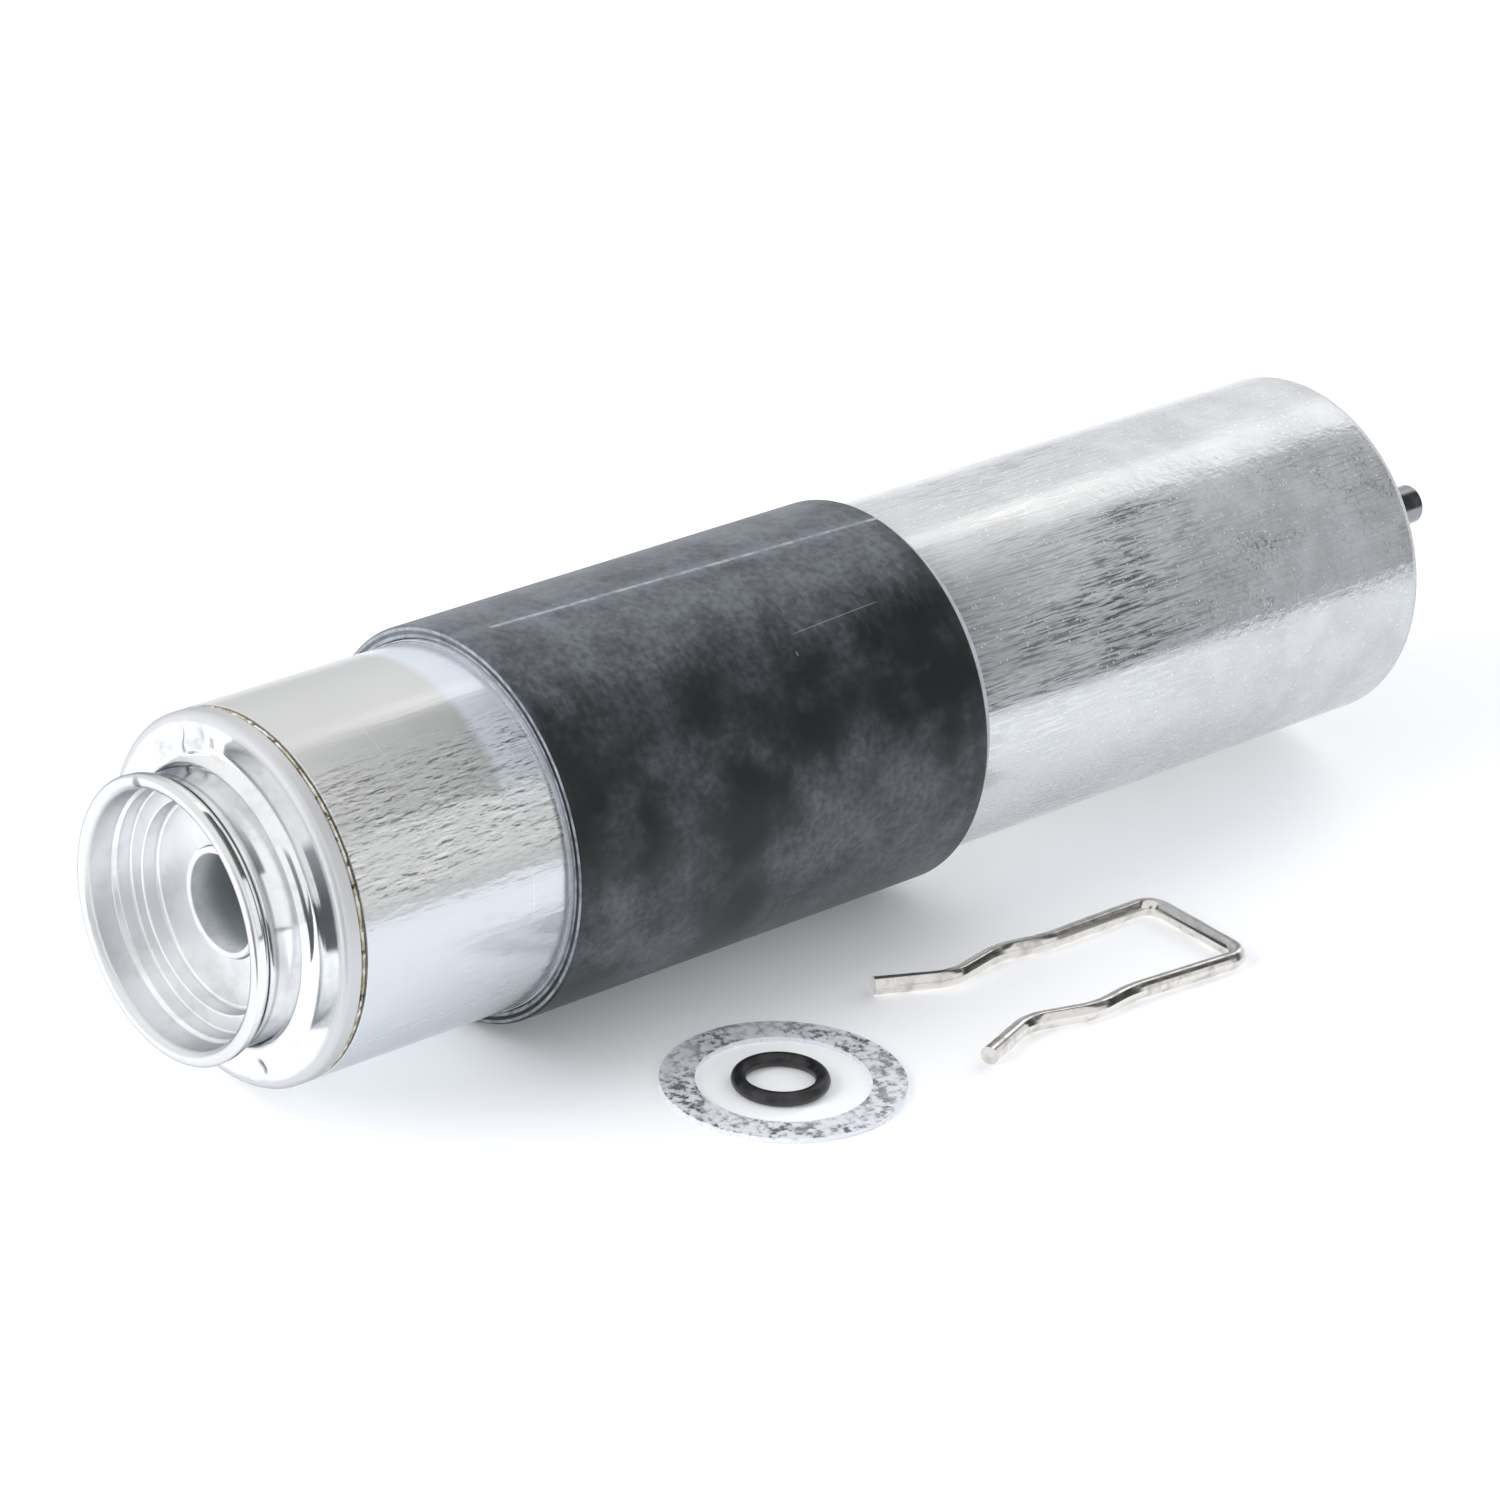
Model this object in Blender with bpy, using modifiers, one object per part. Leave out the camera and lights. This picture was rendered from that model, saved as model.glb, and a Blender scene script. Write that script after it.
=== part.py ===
"""In-line fuel filter with its mounting sleeve, its pleated element and its loose fitting kit.

Units are metres and +Z is up. The can lies along X, with the inlet towards -X and the outlet
towards +X. The origin is on the table, under the middle of the rubber mounting sleeve.
"""

import math

import bmesh
import bpy
from mathutils import Matrix, Vector

# Clearance between neighbouring solids
FIT_GAP = 0.0003

# Can
CAN_DIAMETER = 0.0550
CAN_LENGTH = 0.2103
CAN_WALL = 0.0010
CAN_BOTTOM_WALL = 0.0016
CAN_CORNER_RADIUS = 0.0020

# Rubber mounting sleeve
SLEEVE_LENGTH = 0.0782
SLEEVE_WALL = 0.0020
SLEEVE_SETBACK = 0.0363
SLEEVE_EDGE_RADIUS = 0.0005

# Sealant bead between the can's edge and the head's flange
BEAD_WIDTH = 0.0004
BEAD_RECESS = 0.0002

# Inlet head
FLANGE_THICKNESS = 0.0028
FLANGE_EDGE_RADIUS = 0.0010
NECK_LENGTH = 0.0105
NECK_WALL = 0.0013
NECK_ROOT_RADIUS = 0.0022
LIP_HEIGHT = 0.0010
LIP_WIDTH = 0.0024
LIP_EDGE_RADIUS = 0.0007
SOCKET_STEP = 0.0006
SOCKET_DEPTH = 0.0046
MOUTH_CHAMFER = 0.0008
SEAT_CLEARANCE = 0.00045
SEAT_DEPTH = 0.0030
SEAT_LAND = 0.0027
WELL_DEPTH = 0.0027
HEAD_WEB = 0.0020
PLUG_LENGTH = 0.0105
PLUG_WALL = 0.0032
HEAD_SEAL_CORD = 0.0016

# Inlet tube in the head
INLET_BORE = 0.0144
INLET_TUBE_WALL = 0.0007
INLET_TUBE_TAIL = 0.0093
INLET_TUBE_RISE = 0.0006
INLET_ROLL_HEIGHT = 0.0011
INLET_ROLL_WIDTH = 0.0014
BOSS_WALL = 0.0016
BOSS_LENGTH = 0.0060
INLET_CHAMBER = 0.0077

# Outlet nipple
NIPPLE_DIAMETER = 0.0064
NIPPLE_BORE = 0.0044
NIPPLE_LENGTH = 0.0266
NIPPLE_BEAD_HEIGHT = 0.0005
NIPPLE_BEAD_WIDTH = 0.0024
NIPPLE_BEAD_SETBACK = 0.0060
NIPPLE_TIP_CHAMFER = 0.0004
SHANK_DIAMETER = 0.0100
SHOULDER_HEIGHT = 0.0016
SHOULDER_WIDTH = 0.0014
NIPPLE_FLANGE_HEIGHT = 0.0030
NIPPLE_FLANGE_WIDTH = 0.0015
SPIGOT_DIAMETER = 0.0092
SPIGOT_LEAD = 0.0030
WASHER_THICKNESS = 0.0010

# Filter element
FLOW_GAP = 0.0021
PLEATS = 36
PAPER_THICKNESS = 0.0005
FOLD_WIDTH = 0.0018
VALLEY_WIDTH = 0.0005
SEAM_STRIP = 0.0004
SEAM_STRIP_DEPTH = 0.0050
DISC_WALL = 0.0012
DISC_RIM_WALL = 0.0006
DISC_RIM_DEPTH = 0.0040
BOND_THICKNESS = 0.0010
SPRING_RIDGE_HEIGHT = 0.0015
SPRING_RIDGE_WIDTH = 0.0010
SUPPORT_WALL = 0.0007
SUPPORT_HOLES = 12
SUPPORT_HOLE_DIAMETER = 0.0044
SUPPORT_HOLE_TURN = math.radians(50.0)
GROMMET_WALL = 0.0018
GROMMET_LIP_HEIGHT = 0.0021
GROMMET_LIP_WIDTH = 0.0015
GROMMET_CLEARANCE = 0.0005

# Element spring
SPRING_WIRE = 0.0016
SPRING_TURNS = 5
SPRING_CLEARANCE = 0.0008

# Loose flat seal ring, lying beside the sleeve
SEAL_RING_DIAMETER = 0.0357
SEAL_RING_BORE = 0.0254
SEAL_RING_THICKNESS = 0.0008
SEAL_RING_X = -0.0150
SEAL_RING_SPACING = 0.0170

# Loose O-ring of the inlet bore, lying inside the flat ring
PORT_RING_CORD = 0.0022
PORT_RING_CLEARANCE = 0.0001
PORT_RING_OFFSET_X = -0.0008
PORT_RING_OFFSET_Y = -0.0002

# Loose wire clip, lying beside the sleeve with its legs towards -X
CLIP_WIRE = 0.0028
CLIP_BASE_X = 0.0653
CLIP_SPACING = 0.0202
CLIP_TURN = math.radians(-3.1)
CLIP_BASE_HALF = 0.0107
CLIP_BASE_BEND = 0.0032
CLIP_LEG_LENGTH = 0.0224
CLIP_LEG_HALF = 0.0098
CLIP_BULGE_STEP = 0.0076
CLIP_BULGE_HALF = 0.0113
CLIP_PINCH_STEP = 0.0110
CLIP_PINCH_HALF = 0.0085
CLIP_TIP_STEP = 0.0112
CLIP_TIP_HALF = 0.0132
CLIP_WAVE_BEND = 0.0050

# Faces round a circle, along a rounded corner and along a turn of wire
BODY_STEPS = 48
INNER_STEPS = 36
SMALL_STEPS = 24
HOLE_STEPS = 6
CORD_STEPS = 8
CORNER_STEPS = 3
TURN_POINTS = 10

MERGE_DISTANCE = 0.000001
SMOOTH_ANGLE = math.radians(35.0)

# Radii that follow from the sizes above
can_radius = CAN_DIAMETER / 2
can_inner_radius = can_radius - CAN_WALL
sleeve_inner_radius = can_radius + FIT_GAP
sleeve_radius = sleeve_inner_radius + SLEEVE_WALL
plug_radius = can_inner_radius - FIT_GAP
seat_radius = SEAL_RING_DIAMETER / 2 + SEAT_CLEARANCE
socket_radius = seat_radius + SOCKET_STEP
neck_radius = socket_radius + NECK_WALL
lip_radius = neck_radius + LIP_HEIGHT
inlet_bore_radius = INLET_BORE / 2
inlet_tube_radius = inlet_bore_radius + INLET_TUBE_WALL
boss_bore_radius = inlet_tube_radius + FIT_GAP
boss_radius = boss_bore_radius + BOSS_WALL
spring_radius = boss_radius + SPRING_CLEARANCE + SPRING_WIRE / 2
shank_radius = SHANK_DIAMETER / 2
shank_hole_radius = shank_radius + FIT_GAP
nipple_flange_radius = shank_radius + NIPPLE_FLANGE_HEIGHT
spigot_radius = SPIGOT_DIAMETER / 2
grommet_bore_radius = spigot_radius + FIT_GAP
grommet_radius = grommet_bore_radius + GROMMET_WALL
grommet_lip_radius = grommet_radius + GROMMET_LIP_HEIGHT
support_inner_radius = grommet_lip_radius + GROMMET_CLEARANCE
support_radius = support_inner_radius + SUPPORT_WALL
disc_radius = can_inner_radius - FLOW_GAP
disc_rim_radius = disc_radius - DISC_RIM_WALL
paper_radius = disc_rim_radius - FIT_GAP
paper_inner_radius = support_radius + FIT_GAP

# Heights: the sleeve rests on the table on the middle of one of its facets
axis_height = sleeve_radius * math.cos(math.pi / BODY_STEPS)

# Stations along X, from the inlet to the outlet
can_front = -SLEEVE_LENGTH / 2 - SLEEVE_SETBACK
can_rear = can_front + CAN_LENGTH
bead_rear = can_front - FIT_GAP
bead_front = bead_rear - BEAD_WIDTH
flange_rear = bead_front - FIT_GAP
flange_front = flange_rear - FLANGE_THICKNESS
lip_front = flange_front - NECK_LENGTH
seat_step = lip_front + SOCKET_DEPTH
seat_floor = seat_step + SEAT_DEPTH
well_floor = seat_floor + WELL_DEPTH
web_rear = well_floor + HEAD_WEB
boss_rear = web_rear + BOSS_LENGTH
plug_rear = flange_rear + PLUG_LENGTH
inlet_front = well_floor - INLET_TUBE_RISE
inlet_rear = boss_rear + INLET_TUBE_TAIL
spring_front = web_rear + FIT_GAP
front_disc_front = inlet_rear + INLET_CHAMBER
front_disc_rear = front_disc_front + DISC_WALL
spring_rear = front_disc_front - FIT_GAP
bottom_inner = can_rear - CAN_BOTTOM_WALL
washer_rear = bottom_inner - FIT_GAP
washer_front = washer_rear - WASHER_THICKNESS
nipple_flange_rear = washer_front - FIT_GAP
nipple_flange_front = nipple_flange_rear - NIPPLE_FLANGE_WIDTH
nipple_tip = can_rear + NIPPLE_LENGTH
grommet_rear = nipple_flange_front - FIT_GAP
grommet_groove_rear = grommet_rear - GROMMET_LIP_WIDTH
rear_disc_rear = grommet_groove_rear - FIT_GAP
rear_disc_front = rear_disc_rear - DISC_WALL
grommet_groove_front = rear_disc_front - FIT_GAP
grommet_front = grommet_groove_front - GROMMET_LIP_WIDTH
spigot_front = grommet_front - SPIGOT_LEAD
paper_front = front_disc_rear + 2 * FIT_GAP + BOND_THICKNESS
paper_rear = rear_disc_front - 2 * FIT_GAP - BOND_THICKNESS
support_front = front_disc_rear + FIT_GAP
support_rear = rear_disc_front - FIT_GAP


def clear_scene():
    """Remove every object of the open scene."""
    for obj in list(bpy.data.objects):
        bpy.data.objects.remove(obj, do_unlink=True)


def new_collection(name, shown=True):
    """Return a new collection in the scene."""
    collection = bpy.data.collections.new(name)
    collection.hide_render = not shown
    bpy.context.scene.collection.children.link(collection)
    return collection


def new_material(name, colour, roughness, metallic=0.0):
    """Return a plain material."""
    material = bpy.data.materials.new(name)
    material.use_nodes = True
    shader = material.node_tree.nodes["Principled BSDF"]
    shader.inputs["Base Color"].default_value = (*colour, 1.0)
    shader.inputs["Roughness"].default_value = roughness
    shader.inputs["Metallic"].default_value = metallic
    return material


def rounded(corners, closed=True):
    """Return the outline through corners of (a, b, bend radius), each bend as an arc."""
    count = len(corners)
    outline = []
    for index, (a, b, radius) in enumerate(corners):
        corner = Vector((a, b))
        is_end = not closed and index in (0, count - 1)
        if radius == 0.0 or is_end:
            outline.append(corner)
            continue
        before = Vector(corners[index - 1][:2]) - corner
        after = Vector(corners[(index + 1) % count][:2]) - corner
        half_angle = before.angle(after) / 2
        reach = radius / math.tan(half_angle)
        reach = min(reach, 0.49 * before.length, 0.49 * after.length)
        start = corner + before.normalized() * reach
        end = corner + after.normalized() * reach
        to_centre = (before.normalized() + after.normalized()).normalized()
        centre = corner + to_centre * (reach / math.cos(half_angle))
        first = start - centre
        sweep = first.angle_signed(end - centre)
        for step in range(CORNER_STEPS + 1):
            turn = Matrix.Rotation(-sweep * step / CORNER_STEPS, 2)
            outline.append(centre + turn @ first)
    return outline


def signed_area(outline):
    """Return the area of a closed outline, positive when it runs anticlockwise."""
    pairs = zip(outline, outline[1:] + outline[:1])
    return sum(p[0] * q[1] - q[0] * p[1] for p, q in pairs) / 2


def place(obj, collection, material, parent=None, location=(0.0, 0.0, 0.0), turn=0.0):
    """Put an object in its collection, with its material, parent, location and turn about Z."""
    collection.objects.link(obj)
    obj.data.materials.append(material)
    obj.parent = parent
    obj.location = location
    obj.rotation_euler = (0.0, 0.0, turn)
    return obj


def turned(name, outline, steps, collection, material, axis, touches_axis=False):
    """Turn an outline of (radius, station) about the axis into one solid."""
    if signed_area(outline) < 0:
        outline = outline[::-1]
    profile = bmesh.new()
    verts = [profile.verts.new((radius, 0.0, station)) for radius, station in outline]
    ends = verts[1:] if touches_axis else verts[1:] + verts[:1]
    for first, second in zip(verts, ends):
        profile.edges.new((first, second))
    mesh = bpy.data.meshes.new(name)
    profile.to_mesh(mesh)
    profile.free()
    obj = bpy.data.objects.new(name, mesh)
    # Half a step of turn puts the middle of a facet at the bottom
    place(obj, collection, material, axis, turn=math.pi / steps)
    screw = obj.modifiers.new("Turn", "SCREW")
    screw.axis = "Z"
    screw.angle = math.tau
    screw.steps = steps
    screw.render_steps = steps
    screw.use_merge_vertices = True
    screw.merge_threshold = MERGE_DISTANCE
    screw.use_normal_flip = True
    return freeze(obj)


def freeze(obj):
    """Replace an object's mesh by its evaluated one, with smooth round faces and sharp edges."""
    graph = bpy.context.evaluated_depsgraph_get()
    mesh = bpy.data.meshes.new_from_object(obj.evaluated_get(graph))
    welded = bmesh.new()
    welded.from_mesh(mesh)
    bmesh.ops.remove_doubles(welded, verts=welded.verts[:], dist=MERGE_DISTANCE)
    bmesh.ops.recalc_face_normals(welded, faces=welded.faces[:])
    welded.to_mesh(mesh)
    welded.free()
    mesh.shade_smooth()
    mesh.set_sharp_from_angle(angle=SMOOTH_ANGLE)
    obj.modifiers.clear()
    obj.data = mesh
    return obj


def ring_outline(inner, outer, front, rear, edge=0.0):
    """Return the outline of a plain ring, with its outer edges rounded."""
    return rounded([(outer, front, edge), (outer, rear, edge), (inner, rear, 0), (inner, front, 0)])


def extruded(name, loops, front, rear, collection, material, axis):
    """Extrude flat closed loops, square to the axis, between two stations."""
    curve = bpy.data.curves.new(name, "CURVE")
    curve.dimensions = "2D"
    curve.fill_mode = "BOTH"
    curve.extrude = (rear - front) / 2
    for loop in loops:
        spline = curve.splines.new("POLY")
        spline.points.add(len(loop) - 1)
        for point, (a, b) in zip(spline.points, loop):
            point.co = (a, b, 0.0, 1.0)
        spline.use_cyclic_u = True
    obj = bpy.data.objects.new(name, curve)
    return place(obj, collection, material, axis, location=(0.0, 0.0, (front + rear) / 2))


def wire(name, points, diameter, sides, collection, material, **placing):
    """Make a round wire along points."""
    curve = bpy.data.curves.new(name, "CURVE")
    curve.dimensions = "3D"
    curve.bevel_depth = diameter / 2
    curve.bevel_resolution = sides
    curve.use_fill_caps = True
    spline = curve.splines.new("POLY")
    spline.points.add(len(points) - 1)
    for point, co in zip(spline.points, points):
        point.co = (*co, 1.0)
    return place(bpy.data.objects.new(name, curve), collection, material, **placing)


def cord_ring(name, diameter, cord, steps, collection, material, **placing):
    """Make an O-ring of an outer diameter and a cord diameter."""
    bpy.ops.mesh.primitive_torus_add(
        major_segments=steps,
        minor_segments=CORD_STEPS,
        major_radius=(diameter - cord) / 2,
        minor_radius=cord / 2,
    )
    obj = bpy.context.object
    for owner in list(obj.users_collection):
        owner.objects.unlink(obj)
    obj.name = name
    obj.data.name = name
    obj.data.shade_smooth()
    return place(obj, collection, material, **placing)


def make_can(parts, axis):
    """Drawn can: open at the inlet, with a flat bottom holed for the nipple."""
    aluminium = new_material("can_aluminium", (0.78, 0.79, 0.80), 0.32, 1.0)
    outline = rounded([
        (can_radius, can_front, 0),
        (can_radius, can_rear, CAN_CORNER_RADIUS),
        (shank_hole_radius, can_rear, 0),
        (shank_hole_radius, bottom_inner, 0),
        (can_inner_radius, bottom_inner, CAN_CORNER_RADIUS - CAN_WALL),
        (can_inner_radius, can_front, 0),
    ])
    turned("filter_can", outline, BODY_STEPS, parts, aluminium, axis)


def make_head(parts, axis):
    """Turned head: lip, neck and flange outside, stepped socket inside, plug in the can."""
    polished = new_material("head_aluminium", (0.86, 0.87, 0.88), 0.12, 1.0)
    lip_rear = lip_front + LIP_WIDTH
    lip_inner = socket_radius + MOUTH_CHAMFER
    groove_radius = can_inner_radius - HEAD_SEAL_CORD - 2 * FIT_GAP
    groove_half = HEAD_SEAL_CORD / 2 + FIT_GAP
    groove_middle = (flange_rear + plug_rear) / 2
    outline = rounded([
        (lip_radius, lip_front, LIP_EDGE_RADIUS),
        (lip_radius, lip_rear, LIP_EDGE_RADIUS),
        (neck_radius, lip_rear, 0),
        (neck_radius, flange_front, NECK_ROOT_RADIUS),
        (can_radius, flange_front, FLANGE_EDGE_RADIUS),
        (can_radius, flange_rear, 0),
        (plug_radius, flange_rear, 0),
        (plug_radius, groove_middle - groove_half, 0),
        (groove_radius, groove_middle - groove_half, 0),
        (groove_radius, groove_middle + groove_half, 0),
        (plug_radius, groove_middle + groove_half, 0),
        (plug_radius, plug_rear, 0),
        (plug_radius - PLUG_WALL, plug_rear, 0),
        (plug_radius - PLUG_WALL, web_rear, 0),
        (boss_radius, web_rear, 0),
        (boss_radius, boss_rear, 0),
        (boss_bore_radius, boss_rear, 0),
        (boss_bore_radius, well_floor, 0),
        (seat_radius - SEAT_LAND, well_floor, 0),
        (seat_radius - SEAT_LAND, seat_floor, 0),
        (seat_radius, seat_floor, 0),
        (seat_radius, seat_step + SOCKET_STEP, 0),
        (socket_radius, seat_step, 0),
        (socket_radius, lip_front + MOUTH_CHAMFER, 0),
        (lip_inner, lip_front, 0),
    ])
    turned("inlet_head", outline, BODY_STEPS, parts, polished, axis)
    seal_rubber = new_material("head_seal_rubber", (0.02, 0.02, 0.02), 0.6)
    seal_diameter = 2 * (can_inner_radius - FIT_GAP)
    cord_ring(
        "head_o_ring", seal_diameter, HEAD_SEAL_CORD, INNER_STEPS, parts, seal_rubber,
        parent=axis, location=(0.0, 0.0, groove_middle),
    )


def make_inlet_tube(parts, axis):
    """Thin tube held in the head's boss by a roll behind it."""
    satin = new_material("inlet_tube_aluminium", (0.62, 0.64, 0.65), 0.35, 1.0)
    roll_front = boss_rear + FIT_GAP
    roll_rear = roll_front + INLET_ROLL_WIDTH
    roll_radius = inlet_tube_radius + INLET_ROLL_HEIGHT
    outline = rounded([
        (inlet_tube_radius, inlet_front, 0),
        (inlet_tube_radius, roll_front, 0),
        (roll_radius, roll_front, 0),
        (roll_radius, roll_rear, 0),
        (inlet_tube_radius, roll_rear, 0),
        (inlet_tube_radius, inlet_rear, 0),
        (inlet_bore_radius, inlet_rear, 0),
        (inlet_bore_radius, inlet_front, 0),
    ])
    turned("inlet_tube", outline, INNER_STEPS, parts, satin, axis)


def make_seam_bead(parts, axis):
    """Line of sealant between the can's edge and the head's flange."""
    sealant = new_material("seam_sealant", (0.62, 0.52, 0.34), 0.5)
    outline = ring_outline(plug_radius + FIT_GAP, can_radius - BEAD_RECESS, bead_front, bead_rear)
    turned("seam_bead", outline, BODY_STEPS, parts, sealant, axis)


def make_sleeve(parts, axis):
    """Rubber sleeve that a bracket clamps."""
    rubber = new_material("sleeve_rubber", (0.045, 0.047, 0.052), 0.75)
    end = SLEEVE_LENGTH / 2
    outline = ring_outline(sleeve_inner_radius, sleeve_radius, -end, end, SLEEVE_EDGE_RADIUS)
    turned("mounting_sleeve", outline, BODY_STEPS, parts, rubber, axis)


def make_nipple(parts, axis):
    """Hose nipple, swaged into the can's bottom, and the washer behind its inner flange."""
    bright = new_material("nipple_aluminium", (0.72, 0.73, 0.74), 0.25, 1.0)
    bore = NIPPLE_BORE / 2
    tube = NIPPLE_DIAMETER / 2
    shoulder = shank_radius + SHOULDER_HEIGHT
    shoulder_front = can_rear + FIT_GAP
    shoulder_rear = shoulder_front + SHOULDER_WIDTH
    bead = tube + NIPPLE_BEAD_HEIGHT
    bead_end = nipple_tip - NIPPLE_BEAD_SETBACK
    bead_start = bead_end - NIPPLE_BEAD_WIDTH
    outline = rounded([
        (spigot_radius, spigot_front, 0),
        (spigot_radius, nipple_flange_front, 0),
        (nipple_flange_radius, nipple_flange_front, 0),
        (nipple_flange_radius, nipple_flange_rear, 0),
        (shank_radius, nipple_flange_rear, 0),
        (shank_radius, shoulder_front, 0),
        (shoulder, shoulder_front, 0),
        (shoulder, shoulder_rear, 0),
        (tube, shoulder_rear, 0),
        (tube, bead_start, 0),
        (bead, bead_start + NIPPLE_BEAD_HEIGHT, 0),
        (bead, bead_end - NIPPLE_BEAD_HEIGHT, 0),
        (tube, bead_end, 0),
        (tube, nipple_tip - NIPPLE_TIP_CHAMFER, 0),
        (tube - NIPPLE_TIP_CHAMFER, nipple_tip, 0),
        (bore, nipple_tip, 0),
        (bore, spigot_front, 0),
    ])
    turned("outlet_nipple", outline, SMALL_STEPS, parts, bright, axis)
    fibre = new_material("washer_fibre", (0.30, 0.10, 0.06), 0.8)
    washer = ring_outline(shank_hole_radius, nipple_flange_radius, washer_front, washer_rear)
    turned("outlet_washer", washer, SMALL_STEPS, parts, fibre, axis)


def pleat_loop(fold_radius, fold_half, valley_radius, valley_half):
    """Return a star outline whose folds and valleys are flats of a given half width."""
    pitch = math.tau / PLEATS
    loop = []
    for pleat in range(PLEATS):
        stops = (
            (fold_radius, -fold_half, 0.0),
            (fold_radius, fold_half, 0.0),
            (valley_radius, -valley_half, pitch / 2),
            (valley_radius, valley_half, pitch / 2),
        )
        for radius, aside, ahead in stops:
            angle = pleat * pitch + ahead + aside / radius
            loop.append((radius * math.cos(angle), radius * math.sin(angle)))
    return loop


def make_paper(parts, axis):
    """Pleated paper, and the folded strip that closes its seam over one of the folds."""
    paper = new_material("filter_paper", (0.78, 0.62, 0.32), 0.9)
    fold_half = FOLD_WIDTH / 2
    valley_half = VALLEY_WIDTH / 2
    valley_radius = paper_inner_radius + PAPER_THICKNESS
    outside = pleat_loop(paper_radius, fold_half, valley_radius, valley_half)
    inside = pleat_loop(
        paper_radius - PAPER_THICKNESS,
        fold_half - PAPER_THICKNESS,
        paper_inner_radius,
        valley_half + PAPER_THICKNESS,
    )
    extruded("filter_paper", [outside, inside], paper_front, paper_rear, parts, paper, axis)

    steel = new_material("strip_steel", (0.55, 0.55, 0.56), 0.4, 1.0)
    leg = paper_radius - SEAM_STRIP_DEPTH
    inner_top = paper_radius + FIT_GAP
    outer_top = inner_top + SEAM_STRIP
    inner_half = fold_half + FIT_GAP
    outer_half = inner_half + SEAM_STRIP
    strip = [
        (leg, -outer_half), (outer_top, -outer_half), (outer_top, outer_half), (leg, outer_half),
        (leg, inner_half), (inner_top, inner_half), (inner_top, -inner_half), (leg, -inner_half),
    ]
    front = front_disc_rear + DISC_RIM_DEPTH + FIT_GAP
    rear = rear_disc_front - DISC_RIM_DEPTH - FIT_GAP
    extruded("pleat_clip", [strip], front, rear, parts, steel, axis)


def make_discs(parts, axis):
    """End discs with rims round the pleats, and the adhesive that holds the pleats in them."""
    tinplate = new_material("disc_tinplate", (0.60, 0.60, 0.61), 0.35, 1.0)
    adhesive = new_material("pleat_adhesive", (0.70, 0.66, 0.55), 0.6)
    ridge_inner = spring_radius + SPRING_WIRE / 2 + FIT_GAP
    ridge_outer = ridge_inner + SPRING_RIDGE_WIDTH
    ridge_front = front_disc_front - SPRING_RIDGE_HEIGHT
    rim_rear = front_disc_rear + DISC_RIM_DEPTH
    front = [
        (0.0, front_disc_front), (ridge_inner, front_disc_front), (ridge_inner, ridge_front),
        (ridge_outer, ridge_front), (ridge_outer, front_disc_front), (disc_radius, front_disc_front),
        (disc_radius, rim_rear), (disc_rim_radius, rim_rear),
        (disc_rim_radius, front_disc_rear), (0.0, front_disc_rear),
    ]
    turned("front_end_disc", front, INNER_STEPS, parts, tinplate, axis, touches_axis=True)
    hole = grommet_radius + FIT_GAP
    rim_front = rear_disc_front - DISC_RIM_DEPTH
    rear = [
        (disc_radius, rim_front), (disc_radius, rear_disc_rear), (hole, rear_disc_rear),
        (hole, rear_disc_front), (disc_rim_radius, rear_disc_front), (disc_rim_radius, rim_front),
    ]
    turned("rear_end_disc", rear, INNER_STEPS, parts, tinplate, axis)
    beds = (
        ("front_bond", front_disc_rear + FIT_GAP),
        ("rear_bond", rear_disc_front - FIT_GAP - BOND_THICKNESS),
    )
    for name, start in beds:
        bed = ring_outline(paper_inner_radius, paper_radius, start, start + BOND_THICKNESS)
        turned(name, bed, INNER_STEPS, parts, adhesive, axis)


def make_support_tube(parts, cutters, axis):
    """Tube inside the pleats, with holes that wind round it."""
    steel = new_material("support_steel", (0.58, 0.58, 0.60), 0.4, 1.0)
    outline = ring_outline(support_inner_radius, support_radius, support_front, support_rear)
    tube = turned("support_tube", outline, INNER_STEPS, parts, steel, axis)
    holes = bmesh.new()
    spacing = (support_rear - support_front) / (SUPPORT_HOLES + 1)
    for hole in range(SUPPORT_HOLES):
        lengthwise = Matrix.Translation((0.0, 0.0, support_front + (hole + 1) * spacing))
        around = Matrix.Rotation(hole * SUPPORT_HOLE_TURN, 4, "Z")
        across = Matrix.Rotation(math.pi / 2, 4, "Y")
        bmesh.ops.create_cone(
            holes,
            cap_ends=True,
            segments=HOLE_STEPS,
            radius1=SUPPORT_HOLE_DIAMETER / 2,
            radius2=SUPPORT_HOLE_DIAMETER / 2,
            depth=3 * support_radius,
            matrix=lengthwise @ around @ across,
        )
    mesh = bpy.data.meshes.new("support_holes")
    holes.to_mesh(mesh)
    holes.free()
    cutter = bpy.data.objects.new("support_holes", mesh)
    place(cutter, cutters, steel, axis)
    cutter.hide_render = True
    cutter.display_type = "WIRE"
    cut = tube.modifiers.new("Holes", "BOOLEAN")
    cut.operation = "DIFFERENCE"
    cut.object = cutter


def make_grommet(parts, axis):
    """Rubber grommet that seals the rear disc on the nipple's spigot."""
    rubber = new_material("grommet_rubber", (0.03, 0.03, 0.03), 0.6)
    outline = [
        (grommet_lip_radius, grommet_front), (grommet_lip_radius, grommet_groove_front),
        (grommet_radius, grommet_groove_front), (grommet_radius, grommet_groove_rear),
        (grommet_lip_radius, grommet_groove_rear), (grommet_lip_radius, grommet_rear),
        (grommet_bore_radius, grommet_rear), (grommet_bore_radius, grommet_front),
    ]
    turned("outlet_grommet", outline, SMALL_STEPS, parts, rubber, axis)


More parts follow.
